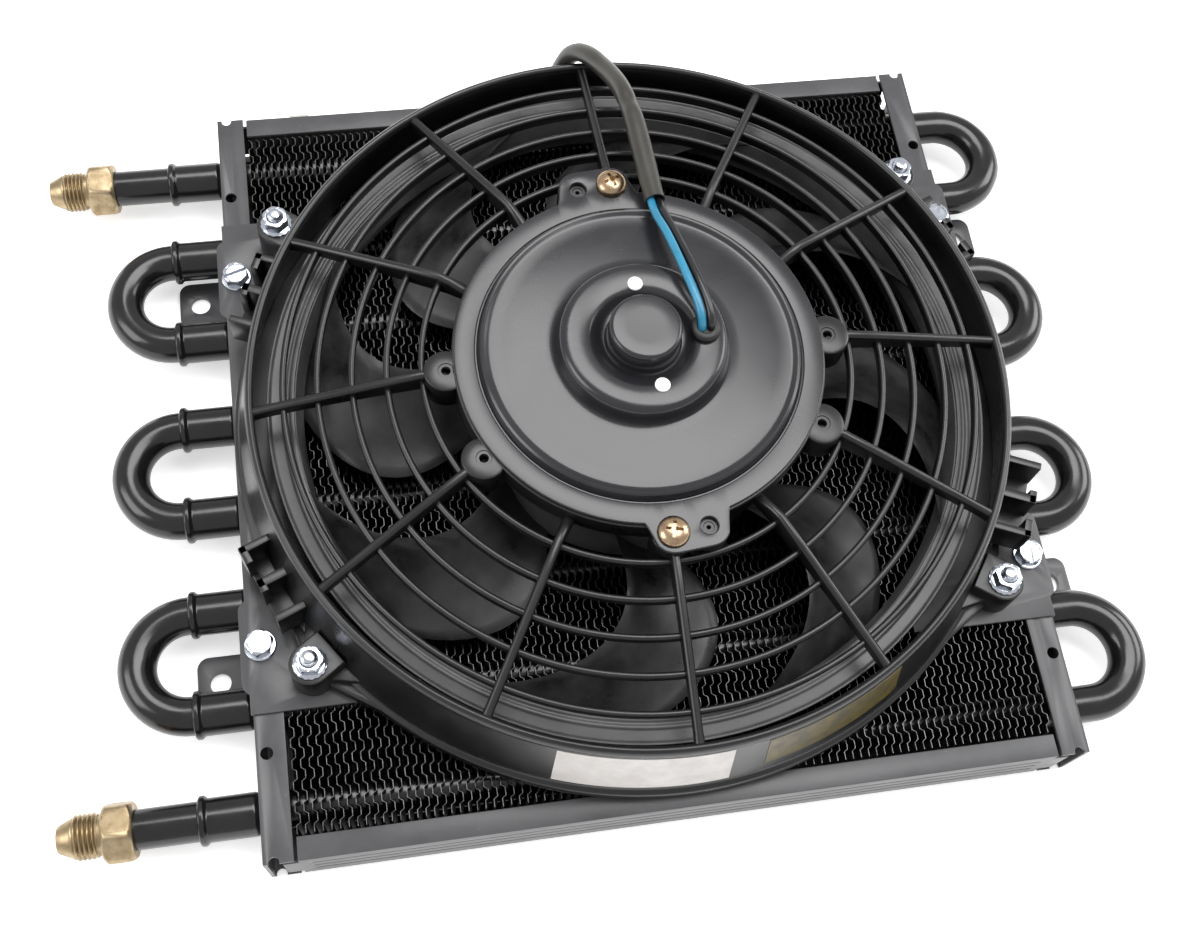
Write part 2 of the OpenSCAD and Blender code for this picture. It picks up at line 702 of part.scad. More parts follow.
// A push-on blade terminal with an insulated barrel, lying flat
module terminal(y) {
    difference() {
        translate([terminal_x, y, 2.1]) rotate([0, -90, 0]) cylinder(h = 9, r = 2.1);
        translate([terminal_x + 0.1, y, 1.6]) rotate([0, -90, 0]) cylinder(h = 5, r = lead_d / 2 + 0.02);
    }
    box(terminal_x - 16, terminal_x - 8.5, y - 3.1, y + 3.1, 1.7, 2.5);
}

module terminal_blue() { color([0.75, 0.75, 0.7]) terminal(blue_tail[3][1]); }

module terminal_black() { color([0.75, 0.75, 0.7]) terminal(black_tail[3][1]); }

fins();
header_left();
header_right();
rail_top();
rail_bottom();
hairpin_tubes();
return_bends();
inlet_stub();
outlet_stub();
inlet_fitting();
outlet_fitting();
fan_plate_left();
fan_plate_right();
plate_screws();
lug_studs();
lug_nuts();
fan_shroud();
motor_end_plate();
motor_case();
motor_screws();
magnets();
front_bearing();
rear_bearing();
brush_card();
brushes();
brush_springs();
grommet();
vent_plugs();
fan_rotor();
motor_shaft();
armature_core();
armature_windings();
commutator();
drive_pin();
hub_clip();
rating_label();
caution_label();
lead_blue();
lead_black();
lead_sleeve();
terminal_blue();
terminal_black();
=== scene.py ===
import math
from functools import partial
import bmesh
import bpy
from mathutils import Matrix, Vector


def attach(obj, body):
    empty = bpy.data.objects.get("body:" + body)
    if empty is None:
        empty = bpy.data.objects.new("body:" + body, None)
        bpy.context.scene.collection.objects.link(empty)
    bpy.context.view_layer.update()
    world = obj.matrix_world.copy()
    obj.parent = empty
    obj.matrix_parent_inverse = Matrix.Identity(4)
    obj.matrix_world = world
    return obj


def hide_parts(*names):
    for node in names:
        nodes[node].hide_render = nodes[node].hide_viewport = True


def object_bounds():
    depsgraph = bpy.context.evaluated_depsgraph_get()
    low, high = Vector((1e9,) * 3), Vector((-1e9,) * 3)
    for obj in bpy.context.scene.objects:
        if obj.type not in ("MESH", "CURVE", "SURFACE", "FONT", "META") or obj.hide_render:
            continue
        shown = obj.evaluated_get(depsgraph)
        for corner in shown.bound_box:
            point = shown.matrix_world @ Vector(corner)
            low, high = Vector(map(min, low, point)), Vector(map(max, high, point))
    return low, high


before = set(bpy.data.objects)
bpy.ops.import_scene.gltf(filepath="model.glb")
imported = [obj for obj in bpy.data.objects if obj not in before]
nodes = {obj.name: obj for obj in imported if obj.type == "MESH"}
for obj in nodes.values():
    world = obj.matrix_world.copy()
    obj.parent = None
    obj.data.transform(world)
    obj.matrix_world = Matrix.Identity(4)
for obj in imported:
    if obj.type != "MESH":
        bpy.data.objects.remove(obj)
cadBox = [list(corner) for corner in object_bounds()]
scene = bpy.context.scene
scene.view_settings.view_transform = "Standard"
mm = 0.001
fixedBody, spinBody = "cooler", "rotor"

# The camera stands where the solved view puts it.
cameraPlan = {
    "place": (-80.8, -212.2, 491.3),
    "forward": (0.13527, 0.37858, -0.91563),
    "up": (0.10396, 0.91360, 0.39310),
    "lens": 44.43,
}


def makeCamera(plan):
    data = bpy.data.cameras.new("viewCamera")
    data.lens = plan["lens"]
    data.sensor_width = 36
    data.clip_start = 0.01
    camera = bpy.data.objects.new("viewCamera", data)
    forward = Vector(plan["forward"]).normalized()
    right = forward.cross(Vector(plan["up"])).normalized()
    up = right.cross(forward)
    turn = Matrix((right, up, -forward)).transposed().to_4x4()
    camera.matrix_world = Matrix.Translation(Vector(plan["place"]) * mm) @ turn
    scene.collection.objects.link(camera)
    scene.camera = camera


makeCamera(cameraPlan)


# Small tools for nodes, colours and meshes.
def addNode(tree, kind, settings=None, links=None):  # a link comes from a socket, or a node's first output
    node = tree.nodes.new(kind)
    for key, value in (settings or {}).items():
        if isinstance(key, int) or key in node.inputs:
            node.inputs[key].default_value = value
        else:
            setattr(node, key, value)
    for key, source in (links or {}).items():
        socket = source.outputs[0] if isinstance(source, bpy.types.Node) else source
        tree.links.new(socket, node.inputs[key])
    return node


def linear(hexColour):
    values = [int(hexColour[i:i + 2], 16) / 255 for i in (1, 3, 5)]
    return tuple(v / 12.92 if v <= 0.04045 else ((v + 0.055) / 1.055) ** 2.4 for v in values) + (1,)


def meshFrom(verts, faces=()):
    mesh = bpy.data.meshes.new("raw")
    mesh.from_pydata([tuple(v) for v in verts], [], [tuple(f) for f in faces])
    return mesh


def partFrom(mesh):
    return [tuple(v.co) for v in mesh.vertices], [tuple(f.vertices) for f in mesh.polygons]


def placed(name, data):  # an object in the scene
    made = bpy.data.objects.new(name, data)
    scene.collection.objects.link(made)
    return made


def evaluated(made):  # the plain mesh an object's modifiers leave
    graph = bpy.context.evaluated_depsgraph_get()
    return bpy.data.meshes.new_from_object(made.evaluated_get(graph), depsgraph=graph)


def polar(radius, degrees, z=0.0):
    a = math.radians(degrees)
    return radius * math.cos(a), radius * math.sin(a), z


def joined(parts):  # several (verts, faces) lists as one
    verts, faces, start = [], [], 0
    for v, f in parts:
        verts.extend(tuple(p) for p in v)
        faces.extend(tuple(i + start for i in face) for face in f)
        start += len(v)
    return verts, faces


def moved(part, matrix):
    verts, faces = part
    return [tuple(matrix @ Vector(v)) for v in verts], faces


def turnZ(degrees, place=(0, 0, 0)):
    return Matrix.Translation(Vector(place)) @ Matrix.Rotation(math.radians(degrees), 4, "Z")


def tidied(mesh, gap=1e-5, sharp=32, outward=True, scale=1.0):
    work = bmesh.new()
    work.from_mesh(mesh)
    bmesh.ops.remove_doubles(work, verts=work.verts, dist=gap)
    if outward:
        bmesh.ops.recalc_face_normals(work, faces=work.faces)
    if scale != 1.0:
        bmesh.ops.scale(work, vec=(scale,) * 3, verts=work.verts)
    work.to_mesh(mesh)
    work.free()
    mesh.shade_smooth()
    mesh.set_sharp_from_angle(angle=math.radians(sharp))
    return mesh


def piece(name, part, body, material, stands, sharp=32):
    mesh = part if isinstance(part, bpy.types.Mesh) else tidied(meshFrom(*part), 1e-4, sharp, True, mm)
    mesh.name = name
    mesh.materials.clear()
    mesh.materials.append(material)
    made = placed(name, mesh)
    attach(made, body)
    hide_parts(*stands)
    return made


def paint(node, material):  # a CAD node that keeps its shape
    mesh = nodes[node].data
    mesh.materials.clear()
    mesh.materials.append(material)


def skin(rings, loop=False):  # faces between rings of points, capped at both ends unless looped
    count, around = len(rings), len(rings[0])
    verts = [tuple(p) for ring in rings for p in ring]
    faces = []
    for i in range(count if loop else count - 1):
        a, b = i * around, (i + 1) % count * around
        faces.extend((a + k, a + (k + 1) % around, b + (k + 1) % around, b + k) for k in range(around))
    if not loop:
        faces.append(tuple(range(around))[::-1])
        faces.append(tuple(range((count - 1) * around, count * around)))
    return verts, faces


def filleted(points, radius, steps=3):  # closed outline with its corners rounded
    out = []
    for i, here in enumerate(points):
        here = Vector(here)
        before, after = Vector(points[i - 1]) - here, Vector(points[(i + 1) % len(points)]) - here
        if before.angle(after, 0) > math.radians(172):
            out.append(here)
            continue
        a = here + before.normalized() * min(radius, before.length * 0.45)
        b = here + after.normalized() * min(radius, after.length * 0.45)
        for s in range(steps + 1):
            t = s / steps
            out.append(a * (1 - t) ** 2 + here * 2 * t * (1 - t) + b * t * t)
    return out


def lathe(profile, around=96, loop=True, start=0.0, sweepAngle=360.0):
    whole = sweepAngle >= 360
    count = around if whole else around + 1
    angles = [math.radians(start + sweepAngle * k / around) for k in range(count)]
    if whole:
        rings = [[(r * math.cos(a), r * math.sin(a), z) for a in angles] for r, z in profile]
        return skin(rings, loop)
    return skin([[(r * math.cos(a), r * math.sin(a), z) for r, z in profile] for a in angles])


def hexAt(flats, limit, spin=0.0):  # reach of a hexagon by angle, turned down to a limit
    def reach(a):
        return min(flats / 2 / math.cos((a + spin + math.pi / 6) % (math.pi / 3) - math.pi / 6), limit)
    return reach


def turned(stations, around=72, loop=True):  # each station is (z, radius), the radius a number or a rule
    angles = [2 * math.pi * k / around for k in range(around)]
    rings = []
    for z, radius in stations:
        reach = [radius(a) if callable(radius) else radius for a in angles]
        rings.append([(r * math.cos(a), r * math.sin(a), z) for r, a in zip(reach, angles)])
    return skin(rings, loop)


def threadStations(z0, z1, outer, depth, pitch, perTurn=8):
    count = max(2, round((z1 - z0) / pitch * perTurn))
    out = []
    for i in range(count + 1):
        z = z0 + (z1 - z0) * i / count
        ease = min(1, (z - z0) / pitch + 0.15, (z1 - z) / pitch + 0.15)

        def reach(a, z=z, ease=ease):
            phase = (z / pitch - a / (2 * math.pi)) % 1
            return outer - depth * (1 - ease * min(1, 1.25 * (1 - abs(2 * phase - 1))))
        out.append((z, reach))
    return out


def plate(outlines, z0, z1, bevel=0.25, segments=2):  # flat sheet from an outer outline and its holes
    work = bmesh.new()
    edges = []
    for outline in outlines:
        verts = [work.verts.new((p[0], p[1], z0)) for p in outline]
        edges += [work.edges.new((verts[i - 1], verts[i])) for i in range(len(verts))]
    bmesh.ops.triangle_fill(work, edges=edges, use_beauty=True, use_dissolve=False)
    grown = bmesh.ops.extrude_face_region(work, geom=work.faces[:])
    top = [v for v in grown["geom"] if isinstance(v, bmesh.types.BMVert)]
    bmesh.ops.translate(work, verts=top, vec=(0, 0, z1 - z0))
    bmesh.ops.recalc_face_normals(work, faces=work.faces)
    rims = [e for e in work.edges if len(e.link_faces) == 2
            and abs(e.verts[0].co.z - e.verts[1].co.z) < 1e-6 and e.calc_face_angle(0) > 1]
    bmesh.ops.bevel(work, geom=rims, offset=bevel, segments=segments, profile=0.5, affect="EDGES")
    mesh = bpy.data.meshes.new("plate")
    work.to_mesh(mesh)
    work.free()
    part = partFrom(mesh)
    bpy.data.meshes.remove(mesh)
    return part


def circle(x, y, radius, count=32, start=0.0, end=360.0):
    span = math.radians(end - start)
    closed = abs(end - start) >= 360
    steps = count if closed else count - 1
    return [(x + radius * math.cos(math.radians(start) + span * k / steps),
             y + radius * math.sin(math.radians(start) + span * k / steps)) for k in range(count)]


def softened(node, bevel=0.25, sharp=30):  # a CAD node's shape with its sheared or moulded edges eased
    work = bmesh.new()
    work.from_mesh(nodes[node].data)
    bmesh.ops.remove_doubles(work, verts=work.verts, dist=3e-6)
    bmesh.ops.dissolve_limit(work, angle_limit=math.radians(0.6), verts=work.verts, edges=work.edges)
    edges = [e for e in work.edges if len(e.link_faces) == 2 and e.calc_face_angle(0) > math.radians(sharp)]
    bmesh.ops.bevel(work, geom=edges, offset=bevel * mm, segments=2, profile=0.5, affect="EDGES",
        clamp_overlap=True)
    mesh = bpy.data.meshes.new(node)
    work.to_mesh(mesh)
    work.free()
    mesh.shade_smooth()
    mesh.set_sharp_from_angle(angle=math.radians(sharp))
    return mesh


def sweep(path, radius, around=32, loop=False):
    path = [Vector(p) for p in path]
    tangents = [(path[min(i + 1, len(path) - 1)] - path[max(i - 1,
        0)]).normalized() for i in range(len(path))]
    side = tangents[0].orthogonal().normalized()
    if abs(tangents[0].z) < 0.9:
        side = tangents[0].cross(Vector((0, 0, 1))).normalized()
    rings = []
    for i, (here, ahead) in enumerate(zip(path, tangents)):
        side = (side - ahead * side.dot(ahead)).normalized()
        other = ahead.cross(side)
        ring = []
        for k in range(around):
            a = 2 * math.pi * k / around
            r = radius(i, a, here) if callable(radius) else radius[i]
            ring.append(here + r * (math.cos(a) * side + math.sin(a) * other))
        rings.append(ring)
    return rings if loop else skin(rings)


def hollow(path, outer, wall, around=36):  # an open-ended tube; the wall is a number or a rule
    def inner(i, a, here):
        return outer(i, a, here) - (wall(here) if callable(wall) else wall)
    return skin(sweep(path, outer, around, loop=True) + sweep(path, inner, around, loop=True)[::-1],
        loop=True)


def smoothRoute(points, steps=6):  # a curve through given points
    points = [Vector(p) for p in points]
    out = []
    for i in range(len(points) - 1):
        p0, p1 = points[max(i - 1, 0)], points[i]
        p2, p3 = points[i + 1], points[min(i + 2, len(points) - 1)]
        for s in range(steps):
            t = s / steps
            square, cube = 2 * p0 - 5 * p1 + 4 * p2 - p3, 3 * p1 - p0 - 3 * p2 + p3
            out.append(0.5 * ((2 * p1) + (p2 - p0) * t + square * t * t + cube * t ** 3))
    out.append(points[-1])
    return out


# Geometry node trees: how they are opened, closed and run.
def newTree(name, inputs):
    tree = bpy.data.node_groups.new(name, "GeometryNodeTree")
    tree.interface.new_socket(name="Geometry", in_out="OUTPUT", socket_type="NodeSocketGeometry")
    for label, kind, value in inputs:
        socket = tree.interface.new_socket(name=label, in_out="INPUT", socket_type="NodeSocket" + kind)
        if value is not None:
            socket.default_value = value
    add = partial(addNode, tree)
    return tree, add, add("NodeGroupInput").outputs, add("NodeGroupOutput")


def closeTree(tree, geometry, material, output):
    real = addNode(tree, "GeometryNodeRealizeInstances", links={0: geometry})
    painted = addNode(tree, "GeometryNodeSetMaterial", links={"Geometry": real, "Material": material})
    tree.links.new(painted.outputs[0], output.inputs[0])


def grown(tree, values, base=None):  # runs a tree and gives the plain mesh it makes
    holder = placed("holder", base or bpy.data.meshes.new("empty"))
    modifier = holder.modifiers.new("tree", "NODES")
    modifier.node_group = tree
    for item in tree.interface.items_tree:
        if item.item_type == "SOCKET" and item.in_out == "INPUT" and item.name in values:
            modifier[item.identifier] = values[item.name]
    mesh = evaluated(holder)
    bpy.data.objects.remove(holder)
    return mesh


def makeScatterTree():  # copies of one shape on points, each turned by its own angle
    tree, add, given, output = newTree("copiesOnPoints", [
        ("Geometry", "Geometry", None), ("Shape", "Object", None), ("Material", "Material", None)])
    shape = add("GeometryNodeObjectInfo", {"transform_space": "ORIGINAL"}, {"Object": given["Shape"]})
    turn = add("GeometryNodeInputNamedAttribute", {"data_type": "FLOAT_VECTOR", "Name": "turn"})
    copies = add("GeometryNodeInstanceOnPoints", links={"Points": given["Geometry"],
        "Instance": shape.outputs["Geometry"], "Rotation": turn.outputs["Attribute"]})
    closeTree(tree, copies, given["Material"], output)
    return tree


scatterTree = makeScatterTree()


def scattered(part, places, material, sharp=32):  # places are (x, y, z, turn in degrees)
    source = placed("source", tidied(meshFrom(*part), 1e-4, sharp, True, mm))
    base = meshFrom([tuple(c * mm for c in p[:3]) for p in places])
    turns = base.attributes.new("turn", "FLOAT_VECTOR", "POINT")
    for i, p in enumerate(places):
        turns.data[i].vector = (0, 0, math.radians(p[3]))
    mesh = grown(scatterTree, {"Shape": source, "Material": material}, base)
    bpy.data.objects.remove(source)
    mesh.shade_smooth()
    mesh.set_sharp_from_angle(angle=math.radians(sharp))
    return mesh


def cut(part, cutters):  # part with closed shapes taken away from it
    made = placed("body", tidied(meshFrom(*part), 1e-4))
    tool = placed("tool", tidied(meshFrom(*joined(cutters)), 1e-4))
    step = made.modifiers.new("cut", "BOOLEAN")
    step.operation, step.solver, step.object = "DIFFERENCE", "EXACT", tool
    out = partFrom(evaluated(made))
    bpy.data.objects.remove(made)
    bpy.data.objects.remove(tool)
    return out


def boxPart(x0, x1, y0, y1, z0, z1):
    verts = [(x, y, z) for x in (x0, x1) for y in (y0, y1) for z in (z0, z1)]
    return verts, [(0, 1, 3, 2), (4, 6, 7, 5), (0, 4, 5, 1), (2, 3, 7, 6), (0, 2, 6, 4), (1, 5, 7, 3)]


# Finishes: pattern sizes and depths are in millimetres.
def makeFinish(name, base, tone, toneSize, rough, roughSpread, grain=0.5, depth=0.01, metal=0.0,
               ior=1.5, specks=None, edge=None):
    material = bpy.data.materials.new(name)
    material.use_nodes = True
    tree = material.node_tree
    add = partial(addNode, tree)
    shader = tree.nodes["Principled BSDF"]
    place = add("ShaderNodeTexCoord").outputs["Object"]
    cloud = add("ShaderNodeTexNoise", {"Scale": 1000 / toneSize, "Detail": 5, "Roughness": 0.6},
        {"Vector": place})
    spread = add("ShaderNodeMapRange", {1: 0.3, 2: 0.7}, {0: cloud.outputs["Fac"]})
    colour = add("ShaderNodeMix", {"data_type": "RGBA", 6: linear(base), 7: linear(tone)},
        {0: spread}).outputs[2]
    roughness = add("ShaderNodeMapRange", {1: 0.0, 2: 1.0, 3: rough - roughSpread / 2,
        4: rough + roughSpread / 2}, {0: spread}).outputs[0]
    if specks:  # dust and chips: small light dots, spacing and size in millimetres
        spacing, size, dotHex, dotRough = specks
        cells = add("ShaderNodeTexVoronoi", {"Scale": 1000 / spacing, "Randomness": 1.0}, {"Vector": place})
        dots = add("ShaderNodeMapRange", {1: size / spacing, 2: size / spacing * 0.55},
            {0: cells.outputs["Distance"]}).outputs[0]
        chosen = add("ShaderNodeSeparateColor", links={0: cells.outputs["Color"]})
        some = add("ShaderNodeMath", {"operation": "GREATER_THAN", 1: 0.72}, {0: chosen}).outputs[0]
        amount = add("ShaderNodeMath", {"operation": "MULTIPLY"}, {0: dots, 1: some}).outputs[0]
        colour = add("ShaderNodeMix", {"data_type": "RGBA", 7: linear(dotHex)},
            {0: amount, 6: colour}).outputs[2]
        roughness = add("ShaderNodeMix", {3: dotRough}, {0: amount, 2: roughness}).outputs[0]
    if edge:  # painted highlight: a lighter, metallic grey above a height, in patches, for the lit top edges
        height, edgeHighlightHex = edge
        up = add("ShaderNodeSeparateXYZ", links={0: place}).outputs[2]
        litEdgeBand = add("ShaderNodeMapRange", {1: (height - 0.12) * mm, 2: height * mm}, {0: up}).outputs[0]
        patchy = add("ShaderNodeTexNoise", {"Scale": 1000 / 2.2, "Detail": 3}, {"Vector": place})
        keep = add("ShaderNodeMapRange", {1: 0.36, 2: 0.52, 3: 0.25, 4: 1.0},
            {0: patchy.outputs["Fac"]}).outputs[0]
        amount = add("ShaderNodeMath", {"operation": "MULTIPLY"}, {0: litEdgeBand, 1: keep}).outputs[0]
        colour = add("ShaderNodeMix", {"data_type": "RGBA", 7: linear(edgeHighlightHex)},
            {0: amount, 6: colour}).outputs[2]
        metallic = add("ShaderNodeMath", {"operation": "MULTIPLY", 1: 0.9}, {0: amount}).outputs[0]
        tree.links.new(metallic, shader.inputs["Metallic"])
    else:
        shader.inputs["Metallic"].default_value = metal
    tree.links.new(colour, shader.inputs["Base Color"])
    tree.links.new(roughness, shader.inputs["Roughness"])
    if not metal:
        shader.inputs["IOR"].default_value = ior
    fine = add("ShaderNodeTexNoise", {"Scale": 1000 / grain, "Detail": 4}, {"Vector": place})
    bump = add("ShaderNodeBump", {"Strength": 1.0, "Distance": depth * mm}, {"Height": fine.outputs["Fac"]})
    tree.links.new(bump.outputs[0], shader.inputs["Normal"])
    return material


# Satin black powder coat on sheet steel: soft grey sheen, faint orange peel, dust caught on it
paintedSheet = makeFinish("satinPowderCoat", "#3b3b3d", "#474749", 14, 0.37, 0.10, 0.9, 0.012,
    specks=(3.2, 0.16, "#8d8c88", 0.7))
# Semi-gloss black enamel over drawn tube: tight highlight along the tube, some runs
paintedTube = makeFinish("glossEnamelTube", "#0c0c0d", "#131313", 9, 0.2, 0.08, 2.6, 0.02,
    specks=(5.0, 0.16, "#55534f", 0.6))
# Stamped end plate in satin black enamel: smooth, with a broad grey sheen
paintedPlate = makeFinish("satinEnamelPlate", "#1c1c1f", "#252528", 30, 0.22, 0.07, 1.4, 0.005,
    specks=(4.0, 0.14, "#77757a", 0.6))
# Black-painted aluminium fins, with a painted highlight along their front edges
paintedFin = makeFinish("paintedFinSheet", "#0b0b0c", "#121213", 8, 0.36, 0.12, 1.1, 0.01,
    edge=(23.75, "#5b5d5a"))
# Glass-filled black nylon, moulded: fine grain, scuffs that show as grey smears
mouldedNylon = makeFinish("mouldedBlackNylon", "#0c0c0d", "#151515", 22, 0.32, 0.12, 0.55, 0.014,
    specks=(4.5, 0.14, "#6a6966", 0.7))
# The same nylon on the blades: patchy greys where the mould released unevenly
rotorNylon = makeFinish("mouldedRotorNylon", "#131314", "#333334", 14, 0.34, 0.2, 0.7, 0.02,
    specks=(3.6, 0.16, "#6f6e6b", 0.7))
# The rotor's band and hub: the black nylon in a lighter grey, a painted sheen for the lit band, and rougher
# than the blades
sheenBandNylon = makeFinish("sheenPaintedBandNylon", "#39393a", "#5c5c5d", 26, 0.4, 0.2, 0.9, 0.02,
    specks=(3.0, 0.2, "#6f6e6b", 0.7))
# Moulded black rubber: dark and soft, hardly any sheen
mouldedRubber = makeFinish("mouldedRubber", "#0e0e0e", "#161616", 6, 0.5, 0.1, 0.4, 0.01)
# Bright zinc plate over steel: blue-white and mirror-like, with slight haze
brightZinc = makeFinish("brightZincPlate", "#ccd0d7", "#b4bac5", 3, 0.2, 0.12, 0.5, 0.008, metal=1.0)
# Yellow zinc plate: brownish gold with a pinkish cast
yellowZinc = makeFinish("yellowZincPlate", "#bda682", "#957a6a", 2.5, 0.26, 0.12, 0.5, 0.008, metal=1.0)
# Machined brass, dulled by handling
dullBrass = makeFinish("machinedBrass", "#ab9a7d", "#8c7a5d", 3, 0.4, 0.16, 0.35, 0.014, metal=1.0)
# White nylon plugs: plain, near-white and matte
whiteNylon = makeFinish("whiteNylonPlug", "#f0f0ee", "#e4e4e2", 2, 0.4, 0.1, 0.3, 0.004)
# Extruded PVC over the leads: even colour, dull sheen along the length
bluePvc = makeFinish("bluePvcInsulation", "#2c7f9f", "#226a88", 8, 0.3, 0.08, 1.2, 0.01, ior=1.53)
blackPvc = makeFinish("blackPvcInsulation", "#0e0e10", "#161618", 8, 0.3, 0.08, 1.2, 0.01, ior=1.53)
# PVC sleeving: browner and duller than the leads
sleevePvc = makeFinish("blackPvcSleeving", "#25241f", "#302e29", 16, 0.42, 0.12, 1.0, 0.02, ior=1.53)
# Ground steel shaft: bright grey with tight highlights
groundSteel = makeFinish("groundSteel", "#a9aaad", "#8f9094", 5, 0.26, 0.1, 0.3, 0.004, metal=1.0)
# Stamped steel laminations: dark grey, slightly rough
laminations = makeFinish("stampedLaminations", "#6f7072", "#565759", 4, 0.45, 0.15, 0.5, 0.02, metal=1.0)
# Enamelled copper wire: red-brown with a varnish gloss
enamelledCopper = makeFinish("enamelledCopperWire", "#9a4b22", "#7a3516", 1.2, 0.28, 0.1, 0.6, 0.05,
    metal=1.0)
# Turned copper bars: clear salmon metal
turnedCopper = makeFinish("turnedCopper", "#b8693f", "#96502d", 3, 0.25, 0.1, 0.3, 0.006, metal=1.0)
# Oil-filled sintered bronze: brown and satin
sinteredBronze = makeFinish("oiledSinteredBronze", "#8c6a3f", "#6f5230", 1.5, 0.42, 0.12, 0.25, 0.02,
    metal=1.0)
# Sintered ferrite: charcoal, stone-like
ferrite = makeFinish("sinteredFerrite", "#2b2c30", "#38393d", 4, 0.62, 0.12, 0.4, 0.02)
# Phenolic board: chestnut brown, half matte
phenolic = makeFinish("phenolicLaminate", "#5d3a1e", "#4a2c15", 3, 0.5, 0.1, 0.6, 0.01)
# Pressed carbon brushes: near-black with a soft grey bloom
pressedCarbon = makeFinish("pressedCarbon", "#222223", "#2f2f30", 1.5, 0.55, 0.1, 0.25, 0.01)
# Tinned brass terminals: pale warm silver
tinnedBrass = makeFinish("tinnedBrass", "#b9b8b0", "#a3a198", 4, 0.3, 0.12, 0.5, 0.006, metal=1.0)
# Vinyl stickers: a flat off-white, and a dirty yellow gone dark in patches
whiteVinyl = makeFinish("whiteVinylSticker", "#c4c0bd", "#b3aeab", 6, 0.42, 0.1, 1.5, 0.01)
yellowVinyl = makeFinish("yellowVinylSticker", "#5f5222", "#2e2a18", 5, 0.4, 0.1, 1.5, 0.01)
print("finishes made")

# Leads, sleeve and terminals.
leadPlan = {
    "diameter": 2.7, "sleeveRadius": 3.5, "sleeveWall": 0.5, "sideBySide": 1.4,
    "blueStart": [(18.05, -0.3, 80), (18.05, -0.3, 88), (17.2, 6, 91.5), (15.2, 17, 91.5), (12.8, 33, 88),
                  (11, 43, 84.5)],
    "blackStart": [(20.95, -0.3, 80), (20.95, -0.3, 88), (20.4, 6, 91), (18.4, 17, 91), (15.8, 33, 87),
                   (13.8, 43, 84.5)],
    "sleeve": [(12, 50, 82), (11.6, 60, 81.4), (11.2, 71, 80.8), (10.8, 82, 80), (10.2, 91, 78.4),
               (9.2, 100, 75.8), (7.6, 108, 72.4), (5.4, 115.5, 68.8), (2.8, 122.5, 65.4), (0, 128, 61.4),
               (-2.6, 131.2, 56.6), (-4.6, 132.2, 51), (-6.2, 133.4, 44), (-7.6, 136, 37), (-9, 139.6, 29),
               (-10.6, 142, 20), (-13, 144.2, 12), (-18, 146, 6), (-26, 146.8, 3.9), (-38, 147, 3.9),
               (-52, 147, 3.9), (-66, 147, 3.9)],
    "blueTail": [(-74, 145.6, 2.6), (-82, 144.2, 1.6), (-92, 143.4, 1.6)],
    "blackTail": [(-74, 148.4, 2.6), (-82, 149.6, 1.6), (-92, 150.4, 1.6)],
    "creaseAt": (10.2, 91, 78.4),
}


def besideRoute(points, offset):  # the same route, shifted sideways from its middle line
    points = [Vector(p) for p in points]
    out = []
    for i, here in enumerate(points):
        ahead = (points[min(i + 1, len(points) - 1)] - points[max(i - 1, 0)]).normalized()
        side = ahead.cross(Vector((0.15, 0.2, 1))).normalized()
        out.append(here + side * offset)
    return out


def makeLead(name, start, offset, tail, material, node):
    route = smoothRoute(start + besideRoute(leadPlan["sleeve"], offset) + tail)
    curve = bpy.data.curves.new(name, "CURVE")
    curve.dimensions = "3D"
    curve.bevel_depth = leadPlan["diameter"] / 2 * mm
    curve.bevel_resolution = 5
    curve.use_fill_caps = True
    spline = curve.splines.new("POLY")
    spline.points.add(len(route) - 1)
    for point, here in zip(spline.points, route):
        point.co = (*(here * mm), 1)
    curve.materials.append(material)
    lead = placed(name, curve)
    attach(lead, fixedBody)
    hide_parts(node)
    length = sum((b - a).length for a, b in zip(route, route[1:])) * mm
    return round(length, 4)


def makeSleeve(plan):
    route = smoothRoute(plan["sleeve"])
    creaseAt = Vector(plan["creaseAt"])

    def outer(i, a, here):
        crease = math.exp(-((here - creaseAt).length / 2.6) ** 2)
        ends = 0.12 * math.exp(-((here - route[0]).length / 2.5) ** 2)
        flat = 1 + 0.05 * math.cos(2 * a) * math.sin(here.y * 0.11)
        return plan["sleeveRadius"] * flat * (1 - 0.2 * crease * abs(math.sin(a))) + ends - 0.1

    return piece("leadSleeve", hollow(route, outer, plan["sleeveWall"], 28), fixedBody, sleevePvc,
        ["lead_sleeve"], 40)


for terminal in ("terminal_blue", "terminal_black"):
    paint(terminal, tinnedBrass)
sleeve = makeSleeve(leadPlan)
blueLength = makeLead("leadBlue", leadPlan["blueStart"], -leadPlan["sideBySide"], leadPlan["blueTail"],
    bluePvc, "lead_blue")
blackLength = makeLead("leadBlack", leadPlan["blackStart"], leadPlan["sideBySide"], leadPlan["blackTail"],
    blackPvc, "lead_black")
print("leads made", blueLength, blackLength)

# Fins: one wavy sheet repeated across the core.
finPlan = {
    "Count": 93, "Pitch": 2.65 * mm, "Height": 256.4 * mm, "Depth": 23.2 * mm, "Sheet": 0.2 * mm,
    "Wave": 256.4 / 38 * mm, "Step": 1.25 * mm, "Flat": 0.41 * mm, "Middle": 12.2 * mm,
}


